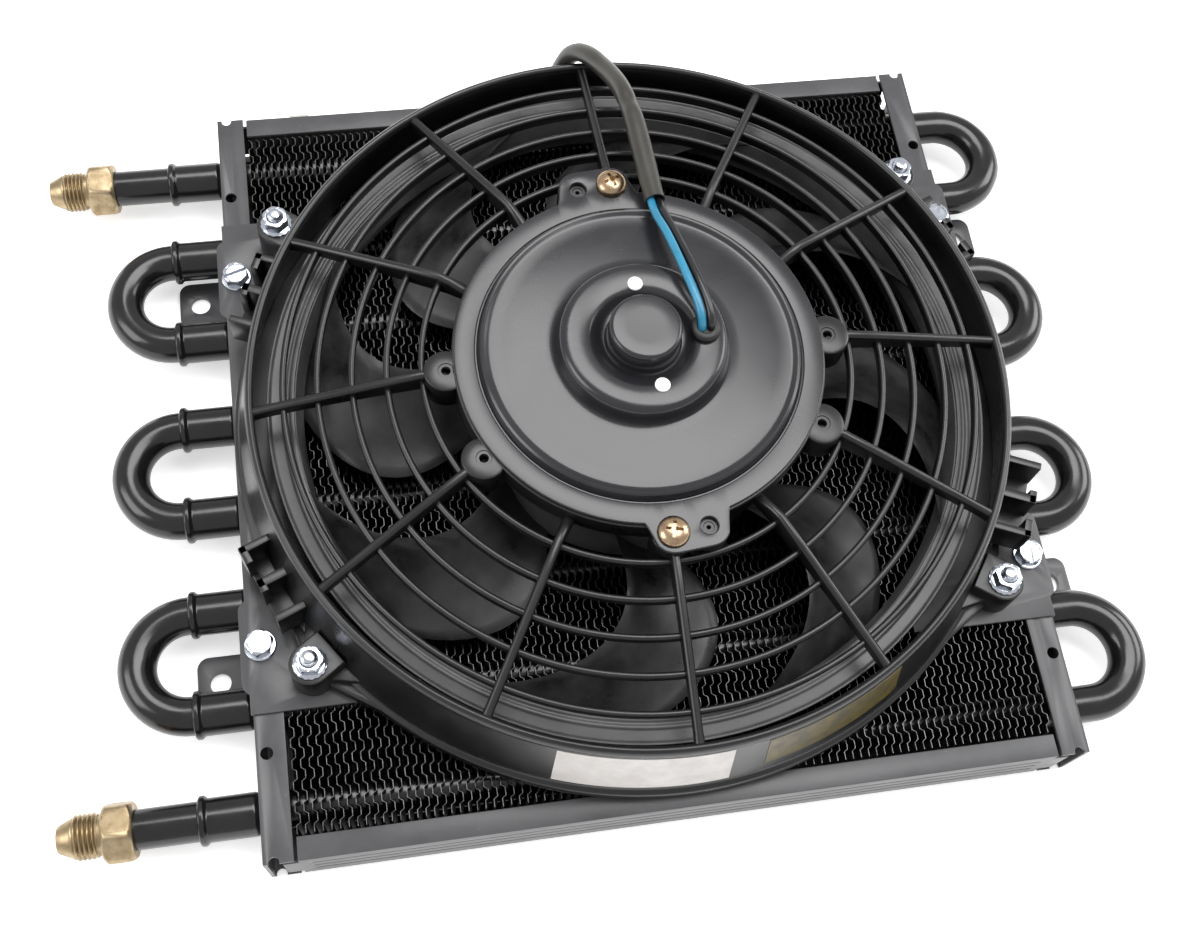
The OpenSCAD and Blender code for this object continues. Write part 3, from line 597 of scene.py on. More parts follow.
def makeFinTree(segments):
    tree, add, given, output = newTree("wavyFins", [
        ("Count", "Int", 87), ("Pitch", "Float", 0.0028), ("Height", "Float", 0.25), ("Depth", "Float", 0.02),
        ("Sheet", "Float", 0.0003), ("Wave", "Float", 0.007), ("Step", "Float", 0.0015),
        ("Flat", "Float", 0.0003), ("Middle", "Float", 0.012), ("Material", "Material", None)])
    size = add("ShaderNodeCombineXYZ", links={0: given["Sheet"], 1: given["Height"], 2: given["Depth"]})
    strip = add("GeometryNodeMeshCube", {"Vertices X": 2, "Vertices Y": segments + 1, "Vertices Z": 2},
        {"Size": size})
    place = add("GeometryNodeInputPosition")
    axes = add("ShaderNodeSeparateXYZ", links={0: place})
    quarter = add("ShaderNodeMath", {"operation": "DIVIDE", 1: 4.0}, {0: given["Wave"]})
    index = add("ShaderNodeMath", {"operation": "DIVIDE"}, {0: axes.outputs[1], 1: quarter})
    whole = add("ShaderNodeMath", {"operation": "ROUND"}, {0: index})
    phase = add("ShaderNodeMath", {"operation": "FLOORED_MODULO", 1: 4.0}, {0: whole})
    high = add("ShaderNodeMath", {"operation": "GREATER_THAN", 1: 1.5}, {0: phase})
    centred = add("ShaderNodeMath", {"operation": "SUBTRACT", 1: 0.5}, {0: high})
    across = add("ShaderNodeMath", {"operation": "MULTIPLY"}, {0: centred, 1: given["Step"]})
    odd = add("ShaderNodeMath", {"operation": "FLOORED_MODULO", 1: 2.0}, {0: whole})
    sign = add("ShaderNodeMath", {"operation": "MULTIPLY_ADD", 1: 2.0, 2: -1.0}, {0: odd})
    along = add("ShaderNodeMath", {"operation": "MULTIPLY"}, {0: sign, 1: given["Flat"]})
    shift = add("ShaderNodeCombineXYZ", links={0: across, 1: along, 2: given["Middle"]})
    waved = add("GeometryNodeSetPosition", links={"Geometry": strip.outputs["Mesh"], "Offset": shift})
    gaps = add("ShaderNodeMath", {"operation": "SUBTRACT", 1: 1.0}, {0: given["Count"]})
    span = add("ShaderNodeMath", {"operation": "MULTIPLY"}, {0: gaps, 1: given["Pitch"]})
    first = add("ShaderNodeMath", {"operation": "MULTIPLY", 1: -0.5}, {0: span})
    start = add("ShaderNodeCombineXYZ", links={0: first})
    gap = add("ShaderNodeCombineXYZ", links={0: given["Pitch"]})
    row = add("GeometryNodeMeshLine", links={
        "Count": given["Count"], "Start Location": start, "Offset": gap})
    copies = add("GeometryNodeInstanceOnPoints", links={"Points": row, "Instance": waved})
    real = add("GeometryNodeRealizeInstances", links={0: copies})
    settled = add("GeometryNodeInputPosition")
    bend = add("ShaderNodeTexNoise", {"Scale": 34.0, "Detail": 2.0}, {"Vector": settled})
    lean = add("ShaderNodeMapRange", {1: 0.25, 2: 0.75, 3: -0.00016, 4: 0.00016}, {0: bend.outputs["Fac"]})
    dent = add("ShaderNodeCombineXYZ", links={0: lean})
    uneven = add("GeometryNodeSetPosition", links={"Geometry": real, "Offset": dent})
    closeTree(tree, uneven, given["Material"], output)
    return tree


finSegments = round(finPlan["Height"] / finPlan["Wave"] * 4)
finMesh = grown(makeFinTree(finSegments), {**finPlan, "Material": paintedFin})
piece("wavyFins", finMesh, fixedBody, paintedFin, ["fins"])
print("fins made", len(finMesh.polygons))

# Headers, rails and fan plates keep their CAD outline, with eased edges.
for name, node, bevel in (
        ("headerLeft", "header_left", 0.3), ("headerRight", "header_right", 0.3),
        ("railTop", "rail_top", 0.25), ("railBottom", "rail_bottom", 0.25),
        ("fanPlateLeft", "fan_plate_left", 0.25), ("fanPlateRight", "fan_plate_right", 0.25)):
    piece(name, softened(node, bevel), fixedBody, paintedSheet, [node])
print("sheet parts made")

# Tubes, numbered from the top row down.
tubePlan = {
    "pitch": 33.9, "middle": 12.2, "radius": 6.35, "wall": 0.9, "headerX": 133.35, "rightTurnX": 144.35,
    "leftTurnX": 153.75, "socketRadius": 7.0, "socketEnd": 151.35, "lipEnd": 152.95, "insert": 139.15,
    "socketFrom": 139, "socketWall": 0.6, "stubEnd": 177.4, "fittingX": 172.45,
}
passY = [(3.5 - i) * tubePlan["pitch"] for i in range(8)]


def bendPoints(centreX, centreY, side, steps=30):
    radius = tubePlan["pitch"] / 2
    return [Vector((centreX + side * radius * math.sin(math.pi * k / steps),
        centreY + radius * math.cos(math.pi * k / steps), tubePlan["middle"])) for k in range(steps + 1)]


def socketRadiusAt(x):  # the expanded end with its rolled lip, from the header outwards
    plan = tubePlan
    out = -x
    if out < plan["headerX"] + 0.4:
        return plan["radius"]
    if out < plan["headerX"] + 2.2:
        t = (out - plan["headerX"] - 0.4) / 1.8
        return plan["radius"] + (plan["socketRadius"] - plan["radius"]) * (3 * t * t - 2 * t ** 3)
    if out > plan["socketEnd"] - 1.4:
        t = min(1, (out - plan["socketEnd"] + 1.4) / 1.4)
        rolled = plan["socketRadius"] + 0.95 * (3 * t * t - 2 * t ** 3)
        return rolled - 0.55 * max(0, (out - plan["lipEnd"] + 0.7) / 0.7) ** 2
    return plan["socketRadius"]


def makeHairpin(first):
    plan = tubePlan
    y0, y1 = passY[first], passY[first + 1]
    stops = [-plan["lipEnd"] + 0.2 * k for k in range(17)] + [-148, -144, -140, -136]
    stops += [-135.5 + 0.3 * k for k in range(9)] + [-132, -80, 0, 80, 132, 138, 142]
    line = [Vector((x, y0, plan["middle"])) for x in stops]
    back = [Vector((x, y1, plan["middle"])) for x in reversed(stops)]
    path = line + bendPoints(plan["rightTurnX"], (y0 + y1) / 2, 1) + back
    creases = 0.16 if first == 0 else 0.05

    def outer(i, a, here):
        r = socketRadiusAt(here.x)
        if here.x > 143:  # the inside of the bend is gathered into small folds
            turn = math.atan2(here.y - (y0 + y1) / 2, here.x - plan["rightTurnX"])
            inner = max(0, -math.cos(a)) ** 2
            r -= creases * inner * (0.5 + 0.5 * math.cos(turn * 11))
        return r
    # the socket's wall is thinner, so its mouth shows a dark gap round the bend's end
    return hollow(path, outer, lambda p: plan["socketWall"] if p.x < -plan["socketFrom"] else plan["wall"])


def makeReturnBend(first):
    plan = tubePlan
    y0, y1 = passY[first], passY[first + 1]
    line = [Vector((x, y0, plan["middle"])) for x in (-plan["insert"], -146, -152)]
    back = [Vector((x, y1, plan["middle"])) for x in (-152, -146, -plan["insert"])]
    path = line + bendPoints(-plan["leftTurnX"], (y0 + y1) / 2, -1) + back

    def outer(i, a, here):
        thin = 0.12 * max(0, (-here.x - 156) / 20)  # drawn slightly flat through the bend
        return plan["radius"] - thin * abs(math.cos(a)) * 0.6
    return hollow(path, outer, plan["wall"])


def makeStub(index):
    plan = tubePlan
    stops = (plan["insert"], 150, 160, 170, plan["stubEnd"])
    path = [Vector((-x, passY[index], plan["middle"])) for x in stops]
    return hollow(path, lambda i, a, here: plan["radius"], plan["wall"])


for name, node, tube in (
        ("hairpinTubes", "hairpin_tubes", joined([makeHairpin(i) for i in (0, 2, 4, 6)])),
        ("returnBends", "return_bends", joined([makeReturnBend(i) for i in (1, 3, 5)])),
        ("inletStub", "inlet_stub", makeStub(0)), ("outletStub", "outlet_stub", makeStub(7))):
    piece(name, tube, fixedBody, paintedTube, [node], 40)
print("tubes made")

# Flare fittings, turned about their own axis and laid along -X.
fittingPlan = {"flats": 17.5, "hexLength": 9.5, "relief": 1.4, "thread": 8.0, "threadRadius": 7.14,
               "threadPitch": 1.41, "threadDepth": 0.8, "nose": 4.6, "tip": 4.1, "bore": 3.6, "collar": 6.4}


def makeFitting(index, twist):
    plan = fittingPlan
    flats, hexEnd, tip = plan["flats"], plan["hexLength"], plan["tip"]
    threadStart = hexEnd + plan["relief"]
    threadEnd = threadStart + plan["thread"]
    noseEnd = threadEnd + plan["nose"]
    spin = math.radians(twist)
    stations = [(5.2, plan["bore"]), (5.2, plan["collar"]), (0, plan["collar"]), (0, 7.6), (0, 8.3)]
    stations += [(z, hexAt(flats, 8.3 + 1.7 * z / 1.4, spin)) for z in (0.25, 0.5, 0.8, 1.1, 1.5)]
    stations += [(hexEnd - 1.5 + z, hexAt(flats, 10 - 1.6 * z / 1.4, spin))
                 for z in (0, 0.4, 0.7, 1.0, 1.25, 1.5)]
    stations += [(hexEnd, 7.2), (hexEnd, 6.2), (threadStart, 6.2), (threadStart + 0.01, 6.3)]
    stations += threadStations(threadStart + 0.02, threadEnd, plan["threadRadius"], plan["threadDepth"],
        plan["threadPitch"])
    stations += [(threadEnd + 0.1, 6.2), (threadEnd + 0.4, 6.15)]
    stations += [(noseEnd - 0.5, tip + 0.35), (noseEnd - 0.1, tip + 0.1), (noseEnd, tip - 0.1),
        (noseEnd - 0.2, plan["bore"])]
    part = turned(stations, 72)
    place = Matrix.Translation(Vector((-tubePlan["fittingX"], passY[index], tubePlan["middle"])))
    return moved(part, place @ Matrix.Rotation(math.radians(-90), 4, "Y"))


piece("inletFitting", makeFitting(0, 8), fixedBody, dullBrass, ["inlet_fitting"], 28)
piece("outletFitting", makeFitting(7, -12), fixedBody, dullBrass, ["outlet_fitting"], 28)
print("fittings made")

# Fasteners, one shape for each kind, copied to its places.
fastenerPlan = {
    "deck": 25.6, "screwX": 129.7, "screwY": 68.0, "lugX": 113.5, "lugY": 80.0, "lugHeight": 14.0,
    "flats": 8, "studPitch": 0.8, "tabScrewY": 62.8, "tabScrewZ": 74.2,
}


def fourPlaces(x, y, z, turns):
    return [(sx * x, sy * y, z, t) for (sx, sy), t in zip(((-1, 1), (1, 1), (-1, -1), (1, -1)), turns)]


def flangeScrew():  # hexagon head with a washer face, a dished top and a slot
    flats = fastenerPlan["flats"]
    stations = [(-9, 0), (-9, 2.0)] + threadStations(-8.9, -0.6, 2.1, 0.35, 1.4) + [(-0.5, 2.0), (0, 2.2)]
    stations += [(0, 5.0), (0.15, 5.2), (0.55, 5.2), (1.0, 4.85), (1.05, hexAt(flats, 5)),
        (3.7, hexAt(flats, 5))]
    stations += [(3.95, hexAt(flats, 4.45)), (4.2, hexAt(flats, 4.2)), (4.4, 3.8), (4.4, 3.25), (4.2, 3.0),
        (4.15, 0)]
    return cut(turned(stations, 48, False), [boxPart(-6, 6, -0.65, 0.65, 3.2, 6)])


def toothedNut():  # hexagon nut with its captive toothed washer
    def teeth(r):
        return lambda a: r + 0.14 * math.cos(16 * a)
    flats = fastenerPlan["flats"]
    stations = [(0, 2.55), (0, teeth(5.3)), (0.2, teeth(5.45)), (0.75, teeth(5.3)), (0.9, 4.9), (1.1, 4.6)]
    stations += [(z, hexAt(flats, limit)) for z, limit in ((1.15, 5), (4.4, 5), (4.75, 4.6), (5.0, 4.3))]
    stations.append((5.1, 3.9))
    stations += [(5.1, 3.0), (4.7, 2.55)]
    return turned(stations, 64)


def studPart():
    stations = [(0, 0), (0, 3.6), (1.2, 3.6), (1.2, 2.3)]
    stations += threadStations(1.3, 22.0, 2.5, 0.4, fastenerPlan["studPitch"], 6)
    stations += [(22.3, 2.0), (22.5, 1.6), (22.6, 1.0), (22.6, 0)]
    return turned(stations, 28, False)


def crossScrew():  # pan head with a cross recess
    dome = [(5.1 * math.cos(t), 0.7 + 2.7 * math.sin(t)) for t in [math.radians(9 * k) for k in range(11)]]
    stations = [(-10, 0), (-10, 1.8)] + threadStations(-9.9, -0.4, 2.0, 0.35, 1.3) + [(-0.2, 2.0), (0, 2.2)]
    stations += [(0, 5.0), (0.1, 5.1)] + [(z, r) for r, z in dome]
    arms = [boxPart(-2.7, 2.7, -0.55, 0.55, 1.7, 5), boxPart(-0.55, 0.55, -2.7, 2.7, 1.7, 5),
            moved(boxPart(-1.1, 1.1, -1.1, 1.1, 1.5, 5), turnZ(45))]
    made = turned(stations, 48, False)
    for arm in arms:
        made = cut(made, [arm])
    return made


def makeFasteners(plan):
    deck, lugX, lugY = plan["deck"], plan["lugX"], plan["lugY"]
    tabPlaces = [(0, plan["tabScrewY"], plan["tabScrewZ"], 20),
        (0, -plan["tabScrewY"], plan["tabScrewZ"], -12)]
    for name, node, part, places, material, slotName in (
            ("plateScrews", "plate_screws", flangeScrew(),
             fourPlaces(plan["screwX"], plan["screwY"], deck, (18, 70, 46, 82)), brightZinc, "zinc_steel"),
            ("lugNuts", "lug_nuts", toothedNut(),
             fourPlaces(lugX, lugY, deck + plan["lugHeight"], (10, 34, 25, 3)), brightZinc, "zinc_steel"),
            ("lugStuds", "lug_studs", studPart(),
             fourPlaces(lugX, lugY, deck - 1.2, (0, 40, 90, 200)), brightZinc, "zinc_steel"),
            ("motorScrews", "motor_screws", crossScrew(), tabPlaces, yellowZinc, "yellow_zinc")):
        piece(name, scattered(part, places, material), fixedBody, material, [node])


makeFasteners(fastenerPlan)
print("fasteners made")

# Fan shroud: wall, hub ring, lugs and seats are one moulding with the guard.
shroudPlan = {
    "deck": 25.6, "rimZ": 58.4, "hubZ": 72.7, "spokes": 12, "rings": 5, "firstRing": 69.8, "ringPitch": 11.15,
    "topIn": 75.2, "topOut": 57.4, "ringWidth": 2.1, "ringHeight": 4.4, "ringTop": 69.0, "ringFall": 0.232,
    "spokeWidth": 3.0, "spokeHeight": 5.0, "lugX": 113.5, "lugY": 80, "lugRadius": 6.8, "lugHeight": 14,
    "seatBase": 6, "seatHeight": 13, "seatReach": {23: 138.5, 157: 137.0, 203: 138.5, 337: 141.0},
    "bosses": [(0, 1.3), (180, 1.3), (210, 1.3), (330, 1.3)], "bossBase": 62, "bossAt": 62.3,
    "bossRadius": 7.2,
    "tabBosses": [(90, 2.05), (100.5, 0.5), (270, 2.05), (280.5, 0.5)], "tabAt": 62.8, "tabBossRadius": 6.6,
}


def spokeTop(r):
    return shroudPlan["topIn"] + (shroudPlan["topOut"] - shroudPlan["topIn"]) * (r - 60) / 65.2


def ribOutline(width, height, inset=0.35):  # a rib's section, round on top and drawn in for the mould
    top = [(width / 2 * math.cos(t), -width / 2 + width / 2 * math.sin(t))
           for t in [math.pi * k / 8 for k in range(9)]]
    return top + [(-width / 2 + inset, -height), (width / 2 - inset, -height)]


def makeGuardTree():
    tree, add, given, output = newTree("guardRingsAndSpokes", [
        ("Rings", "Int", 5), ("First", "Float", 0.07), ("Pitch", "Float", 0.0115), ("Slope", "Float", -0.256),
        ("Height", "Float", 0.07), ("Spokes", "Int", 12), ("Ring", "Object", None), ("Spoke", "Object", None),
        ("Material", "Material", None)])
    ringRow = add("GeometryNodeMeshLine", {"Offset": (0, 0, 0)}, {"Count": given["Rings"]})
    index = add("GeometryNodeInputIndex")
    reach = add("ShaderNodeMath", {"operation": "MULTIPLY_ADD"},
        {0: index, 1: given["Pitch"], 2: given["First"]})
    height = add("ShaderNodeMath", {"operation": "MULTIPLY_ADD"},
        {0: reach, 1: given["Slope"], 2: given["Height"]})
    lift = add("ShaderNodeCombineXYZ", links={2: height})
    raised = add("GeometryNodeSetPosition", links={"Geometry": ringRow, "Offset": lift})
    size = add("ShaderNodeCombineXYZ", {2: 1.0}, {0: reach, 1: reach})
    loopCurve = add("GeometryNodeCurvePrimitiveCircle", {"mode": "RADIUS", "Resolution": 160, "Radius": 1.0})
    hoops = add("GeometryNodeInstanceOnPoints", links={"Points": raised, "Instance": loopCurve,
        "Scale": size})
    realHoops = add("GeometryNodeRealizeInstances", links={0: hoops})
    upright = add("GeometryNodeSetCurveNormal", {"mode": "Z_UP"}, {"Curve": realHoops})
    ringShape = add("GeometryNodeObjectInfo", links={"Object": given["Ring"]})
    rings = add("GeometryNodeCurveToMesh", links={"Curve": upright,
        "Profile Curve": ringShape.outputs["Geometry"]})
    spokeShape = add("GeometryNodeObjectInfo", links={"Object": given["Spoke"]})
    spokeRow = add("GeometryNodeMeshLine", {"Offset": (0, 0, 0)}, {"Count": given["Spokes"]})
    step = add("ShaderNodeMath", {"operation": "DIVIDE", 0: 2 * math.pi}, {1: given["Spokes"]})
    angle = add("ShaderNodeMath", {"operation": "MULTIPLY"}, {0: index, 1: step})
    turn = add("ShaderNodeCombineXYZ", links={2: angle})
    spokes = add("GeometryNodeInstanceOnPoints", links={"Points": spokeRow,
        "Instance": spokeShape.outputs["Geometry"], "Rotation": turn})
    both = add("GeometryNodeJoinGeometry")
    tree.links.new(rings.outputs[0], both.inputs[0])
    tree.links.new(spokes.outputs[0], both.inputs[0])
    closeTree(tree, both, given["Material"], output)
    return tree


def spokePart():  # from the hub, widening at both ends where it runs into the moulding
    stations = [57.5, 60, 61.5, 63.5, 66, 70, 80, 90, 100, 110, 118, 121.5, 123.4, 124.8]
    rings = []
    for x in stations:
        wide = shroudPlan["spokeWidth"] + 1.6 * max(0, (67 - x) / 9.5) + 0.9 * max(0, (x - 120) / 4.8) ** 2
        top = min(spokeTop(x), shroudPlan["hubZ"] - 0.5 - 0.35 * max(0, 68 - x))
        high = shroudPlan["spokeHeight"] + 3.2 * (max(0, 118 - x) / 42) ** 1.5 - (spokeTop(x) - top)
        rings.append([(x, u, top + v) for u, v in ribOutline(wide, high)])
    return skin(rings)


def makeGuard(material):
    plan = shroudPlan
    profile = bpy.data.curves.new("ringSection", "CURVE")
    profile.dimensions = "3D"
    spline = profile.splines.new("POLY")
    outline = ribOutline(plan["ringWidth"], plan["ringHeight"])[::-1]
    spline.points.add(len(outline) - 1)
    for point, (u, v) in zip(spline.points, outline):
        point.co = (u * mm, -v * mm, 0, 1)
    spline.use_cyclic_u = True
    ring = placed("ringSection", profile)
    spoke = placed("spoke", tidied(meshFrom(*spokePart()), 1e-4, 40, True, mm))
    mesh = grown(makeGuardTree(), {
        "Rings": plan["rings"], "First": plan["firstRing"] * mm, "Pitch": plan["ringPitch"] * mm,
        "Slope": -plan["ringFall"], "Height": (plan["ringTop"] + plan["ringFall"] * plan["firstRing"]) * mm,
        "Spokes": plan["spokes"], "Ring": ring, "Spoke": spoke, "Material": material})
    for o in (ring, spoke):
        bpy.data.objects.remove(o)
    return tidied(mesh, 1e-7, 40)


def wallPart():
    p = shroudPlan
    top, low = p["rimZ"], p["deck"] + 4.8
    outline = [(133.5, p["deck"]), (133.5, low), (131.6, low + 1.0), (126.9, top - 3.4), (127.0, top - 2.2),
        (126.3, top - 0.7), (125.2, top), (124.1, top - 0.7), (123.7, top - 2.0), (124.2, top - 3.4),
        (128.9, low + 0.4), (131.5, low - 1.6), (131.5, p["deck"])]
    return lathe(filleted(outline, 0.8, 3), 192)


def hubPart():
    p = shroudPlan
    outline = [(53.4, 63), (59.2, 63), (60.2, 64.5), (60.2, p["hubZ"]), (53.4, p["hubZ"])]
    return lathe(filleted(outline, 0.5, 3), 144)


def bossPart(radius, height, hole):
    stations = [(0, hole), (0, radius), (height - 0.9, radius), (height - 0.35, radius - 0.25),
        (height, radius - 0.9)]
    stations += [(height, hole + 1.3), (height - 0.35, hole + 1.15), (height - 0.35, hole + 0.25),
        (height - 0.7, hole)]
    return turned(stations, 40)


def lugPart():
    p = shroudPlan
    r, wide = math.hypot(p["lugX"], p["lugY"]), p["lugRadius"]
    outline = [(130.4, -wide), (130.4, wide)] + circle(r, 0, wide, 17, 90, -90)
    lug = plate([outline, circle(r, 0, 2.6, 20)], p["deck"], p["deck"] + p["lugHeight"], 0.5, 3)
    skirt = [(r - 1, wide), (130.2, 27), (131.5, 16), (132.4, 0), (131.5, -16), (130.2, -27), (r - 1, -wide)]
    flange = plate([filleted(skirt, 1.2)], p["deck"], p["deck"] + 4.9, 0.4)
    web = [(130, -14), (130, 14), (138, 5.5), (138, -5.5)]
    ramp = plate([web], p["deck"], p["deck"] + 8.2, 0.5)
    return joined([lug, flange, ramp])


def pocketPart(reach):  # two open clip seats side by side, walled on three sides
    z0 = shroudPlan["deck"] + shroudPlan["seatBase"]
    z1 = z0 + shroudPlan["seatHeight"]
    base = [(128.3, -13.5), (reach - 0.6, -13.5), (reach - 0.6, 13.5), (128.3, 13.5)]
    parts = [plate([filleted(base, 0.5, 2)], z0, z0 + 2.0, 0.35)]
    sides = [(128.3, low, high) for low, high in ((-14, -11.4), (-1.6, 1.6), (11.4, 14))]
    hooks = [(reach - 2.6, low, high) for low, high in ((-14, -7.6), (-1.6, 3.2))]
    for start, low, high in sides + hooks:
        wall = [(start, low), (reach, low), (reach, high), (start, high)]
        parts.append(plate([filleted(wall, 0.4, 2)], z0, z1, 0.35))
    return joined(parts)


def makeShroud():
    p = shroudPlan
    parts = [wallPart(), hubPart()]
    corner = math.degrees(math.atan2(p["lugY"], p["lugX"]))
    parts += [moved(lugPart(), turnZ(a)) for a in (corner, 180 - corner, 180 + corner, -corner)]
    parts += [moved(pocketPart(reach), turnZ(a)) for a, reach in p["seatReach"].items()]
    base = p["bossBase"]
    for bosses, at, radius, top in ((p["bosses"], p["bossAt"], p["bossRadius"], p["hubZ"] - 0.1),
                                    (p["tabBosses"], p["tabAt"], p["tabBossRadius"], p["hubZ"] - 0.02)):
        for a, hole in bosses:
            parts.append(moved(bossPart(radius, top - base, hole), turnZ(0, polar(at, a, base))))
    return joined(parts)


piece("shroudMoulding", makeShroud(), fixedBody, mouldedNylon, ["fan_shroud"], 34)
piece("guardGrille", makeGuard(mouldedNylon), fixedBody, mouldedNylon, ["fan_shroud"])
print("shroud made")

# Rotor: eight blades on a hub, with a band round their tips.
rotorPlan = {
    "root": 53.4, "tip": 112.6, "low": 27.4, "bandTop": 45.4, "blades": 8, "thick": 2.0, "chord": 22,
    "spread": 4, "lead": 169.6, "bow": 50, "bowAt": 0.32, "frontZ": 50.5, "fall": 6.4, "drop": 19,
    "flatter": 4.5, "camber": 0.22, "shareFrom": 53.8, "shareTo": 113,
}


def bladePoint(r, u, lift):  # u runs from the front edge to the back edge, angles in degrees
    p = rotorPlan
    share = max(0.0, (r - p["shareFrom"]) / (p["shareTo"] - p["shareFrom"]))
    angle = p["lead"] - p["bow"] * (share - p["bowAt"]) ** 2 + (p["chord"] + p["spread"] * share) * u
    drop = p["drop"] - p["flatter"] * share
    z = p["frontZ"] - p["fall"] * share ** 1.5 - drop * (u + p["camber"] * math.sin(math.pi * u))
    return polar(r, angle, z + lift)


def bladePart():
    outSteps, acrossSteps = 22, 18
    across = [k / acrossSteps for k in range(acrossSteps + 1)]
    half = [rotorPlan["thick"] / 2 * min(1, math.sqrt(max(0, 1 - (2 * u - 1) ** 14)) + 0.25) for u in across]
    rings = []
    for i in range(outSteps + 1):
        r = rotorPlan["root"] + (rotorPlan["tip"] - rotorPlan["root"]) * i / outSteps
        front = [bladePoint(r, u, h) for u, h in zip(across, half)]
        rings.append(front + [bladePoint(r, u, -h) for u, h in zip(across[::-1], half[::-1])])
    return skin(rings)


def rotorShell():
    low, top = rotorPlan["low"], rotorPlan["bandTop"]
    hub = [(4.3, low + 0.9), (10, low + 0.9), (12, low + 0.1), (51, low + 0.1), (54.1, low + 3.0),
        (54.5, 53.8), (52.2, 53.8), (51.8, low + 4.6), (50, low + 2.8), (9, low + 2.8), (9, low + 3.7),
        (4.3, low + 3.7)]
    band = [(112, low + 0.7), (114, low + 0.7), (114, top - 2.2), (115, top - 1.7), (121, top - 1.7),
            (121, top + 0.1), (120.2, top + 0.1), (119.6, top - 0.6), (116.2, top - 0.6), (115.7, top),
            (114.9, top), (114.4, top - 0.6), (113.8, top - 0.6), (113.3, top), (112, top)]
    lip = [(109.6, low + 9), (110.4, low + 9), (112.4, low + 14.5), (112.4, top - 1.0), (111.6, top - 1.0)]
    return joined([lathe(filleted(outline, radius), around) for outline, radius, around in (
        (hub, 0.6, 128), (band, 0.4, 160), (lip, 0.3, 160))])


bladePlaces = [(0, 0, 0, k * 360 / rotorPlan["blades"]) for k in range(rotorPlan["blades"])]
blades = scattered(bladePart(), bladePlaces, rotorNylon, 40)
piece("fanBlades", blades, spinBody, rotorNylon, ["fan_rotor"])
# the band and hub take the lighter grey nylon: painted sheen
piece("fanHubAndBand", rotorShell(), spinBody, sheenBandNylon, ["fan_rotor"])
print("rotor made")

# Motor, as far as it shows.
motorPlan = {
    "plateRadius": 59.6, "flangeZ": 74.2, "underZ": 72.7, "tabAt": 62.8, "tabRadius": 6.8, "tabTurn": 10.5,
    "leadHole": (19.5, -0.3, 0), "plugAt": 18.3, "plugTurns": (90, 279),
}


def tabReach(angle):  # how far the end plate reaches at an angle, tabs included
    p = motorPlan
    best = p["plateRadius"]
    for screwAngle in (90, 270):
        for k in range(9):
            a = math.radians(screwAngle + p["tabTurn"] * k / 8)
            middle = p["tabAt"] * math.cos(math.radians(p["tabTurn"] / 2))
            chord = middle / math.cos(math.radians(p["tabTurn"] * (k / 8 - 0.5)))
            off = angle - a
            inside = p["tabRadius"] ** 2 - (chord * math.sin(off)) ** 2
            if math.cos(off) > 0 and inside > 0:
                best = max(best, chord * math.cos(off) + math.sqrt(inside))
    return best


def endPlateFlange():
    p = motorPlan
    count = 720
    reach = [tabReach(2 * math.pi * k / count) for k in range(count)]
    eased = [sum(reach[(k + d) % count] for d in range(-3, 4)) / 7 for k in range(count)]
    outer = [(r * math.cos(2 * math.pi * k / count), r * math.sin(2 * math.pi * k / count))
             for k, r in enumerate(eased)]
    holes = [circle(0, 0, 52.8, 144)]
    for a, r in ((90, 2.3), (100.5, 2.8), (270, 2.3), (280.5, 2.8)):
        holes.append(circle(*polar(p["tabAt"], a)[:2], r, 28))
    return plate([outer] + holes, p["underZ"], p["flangeZ"], 0.4, 3)


def endPlateDome():
    outer = [(53.0, 73.7), (52.4, 73.75), (51.9, 75.0), (51.3, 76.4), (50.6, 76.85), (49.9, 76.7),
        (49.2, 76.15), (48.2, 76.0), (44, 76.4), (38, 76.8), (32, 77.0), (29.4, 77.05), (28.6, 77.3),
        (28.0, 78.1), (27.3, 80.6), (26.8, 82.6), (26.1, 83.7), (25.0, 84.3), (23.4, 84.5), (21, 84.5),
        (18.4, 84.4), (16.6, 83.9), (15.4, 82.9), (14.4, 81.9), (13.3, 81.3), (12.4, 81.2), (11.9, 81.8),
        (11.7, 83.0), (11.5, 89.2), (11.3, 89.8), (10.8, 90.2), (10.0, 90.36), (6, 90.3), (0, 90.25)]
    inner = [(0, 88.9), (9.9, 88.9), (9.9, 79.6), (13.4, 79.6), (15.6, 81.7), (17, 82.9), (21.6, 82.9),
             (23.6, 81.8), (25.4, 79.1), (27.2, 75.9), (29.4, 75.5), (49.2, 75), (50.0, 74), (51, 72.8),
             (53.0, 72.8)]
    return lathe(outer + inner, 160)


piece("motorEndPlate", joined([endPlateFlange(), endPlateDome()]), fixedBody, paintedPlate,
    ["motor_end_plate"], 34)
grommetOutline = [(4.5, 80), (4.5, 80.9), (3.65, 81), (3.65, 84.4), (4.9, 84.4), (4.9, 85.7), (4.2, 86.6),
    (2.9, 86.9), (2.2, 86.6)]
grommetPart = lathe(filleted(grommetOutline, 0.4) + [Vector((0, 86.4)), Vector((0, 80))], 40)
piece("leadGrommet", moved(grommetPart, turnZ(0, motorPlan["leadHole"])), fixedBody, mouldedRubber,
      ["grommet"], 40)
plugPart = lathe([(0, 84.3), (2.45, 84.3), (2.4, 84.8), (2.1, 85.0), (1.4, 85.1), (0, 85.1)], 28)
plugPlaces = [(*polar(motorPlan["plugAt"], a), 0) for a in motorPlan["plugTurns"]]
piece("ventPlugs", scattered(plugPart, plugPlaces, whiteNylon), fixedBody, whiteNylon,
      ["vent_plugs"])
print("motor made")

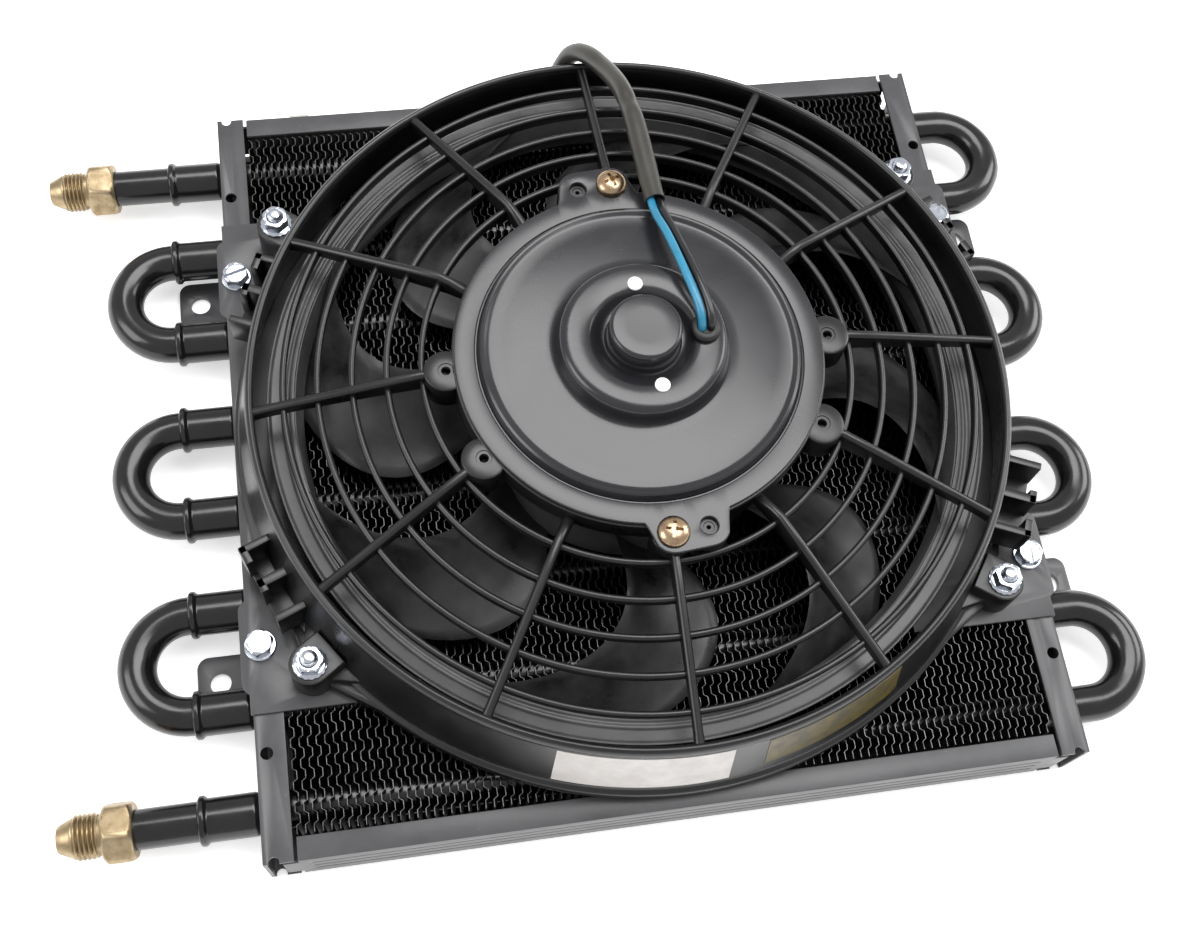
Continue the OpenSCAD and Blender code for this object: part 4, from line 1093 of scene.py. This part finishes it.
# CAD parts that keep their shape.
kept = {
    "motor_case": paintedPlate, "magnets": ferrite, "front_bearing": sinteredBronze,
    "rear_bearing": sinteredBronze, "brush_card": phenolic, "brushes": pressedCarbon,
    "brush_springs": brightZinc, "motor_shaft": groundSteel, "armature_core": laminations,
    "armature_windings": enamelledCopper, "commutator": turnedCopper, "drive_pin": groundSteel,
    "hub_clip": groundSteel, "rating_label": whiteVinyl, "caution_label": yellowVinyl,
}
for node, material in kept.items():
    paint(node, material)

# Floor and light: a glowing pale floor under one wide lamp and two fills, and a dark sheet of painted shade
# under the core.
studioPlan = {
    "floor": "#f4f4f3", "floorHalf": 4, "floorGlow": 0.45, "shadeSheetHalf": 0.127, "world": 0.75,
    "aim": (0, 0, 0.03), "lamps": [
        ("keyPanel", (0.3, 0.4, 1.75), 32, (1.7, 0.85)), ("leftPanel", (-1.3, -0.1, 0.9), 10, (0.8, 0.8)),
        ("rightPanel", (1.4, 0.3, 0.8), 10, (0.7, 0.7))],
}


def stagePlane(name, half, below, material):
    mesh = meshFrom([(-half, -half, 0), (half, -half, 0), (half, half, 0), (-half, half, 0)], [(0, 1, 2, 3)])
    mesh.materials.append(material)
    plane = placed(name, mesh)
    plane.location.z = cadBox[0][2] - below


def makeStudio(plan):
    pale = makeFinish("paleFloor", plan["floor"], "#f6f6f6", 300, 0.8, 0.05, 20, 0.0)
    floorShader = pale.node_tree.nodes["Principled BSDF"]
    floorShader.inputs["Emission Color"].default_value = (1, 1, 1, 1)
    floorShader.inputs["Emission Strength"].default_value = plan["floorGlow"]
    stagePlane("studioFloor", plan["floorHalf"], 0.0005, pale)
    # a dark sheet under the core: painted shade, seen through the gaps between the fins
    dark = makeFinish("paintedShadeUnderlay", "#2a2a2a", "#303030", 300, 0.8, 0.05, 20, 0.0)
    stagePlane("studioUnderlay", plan["shadeSheetHalf"], 0.0003, dark)  # keeps the floor's glow out of the fins
    world = bpy.data.worlds.new("studioWorld")
    scene.world = world
    world.use_nodes = True
    back = world.node_tree.nodes["Background"]
    back.inputs["Color"].default_value = (1, 1, 1, 1)
    lightPath = addNode(world.node_tree, "ShaderNodeLightPath")  # white to the camera, dimmer as light
    seen = addNode(world.node_tree, "ShaderNodeMath", {
        "operation": "MULTIPLY_ADD", 1: 1 - plan["world"], 2: plan["world"]},
        {0: lightPath.outputs["Is Camera Ray"]})
    world.node_tree.links.new(seen.outputs[0], back.inputs["Strength"])
    for name, place, power, size in plan["lamps"]:
        light = bpy.data.lights.new(name, "AREA")
        light.energy = power
        light.shape = "RECTANGLE"
        light.size, light.size_y = size
        lamp = placed(name, light)
        lamp.location = place
        lamp.rotation_euler = (Vector(plan["aim"]) - Vector(place)).to_track_quat("-Z", "Y").to_euler()


makeStudio(studioPlan)
print("studio made")
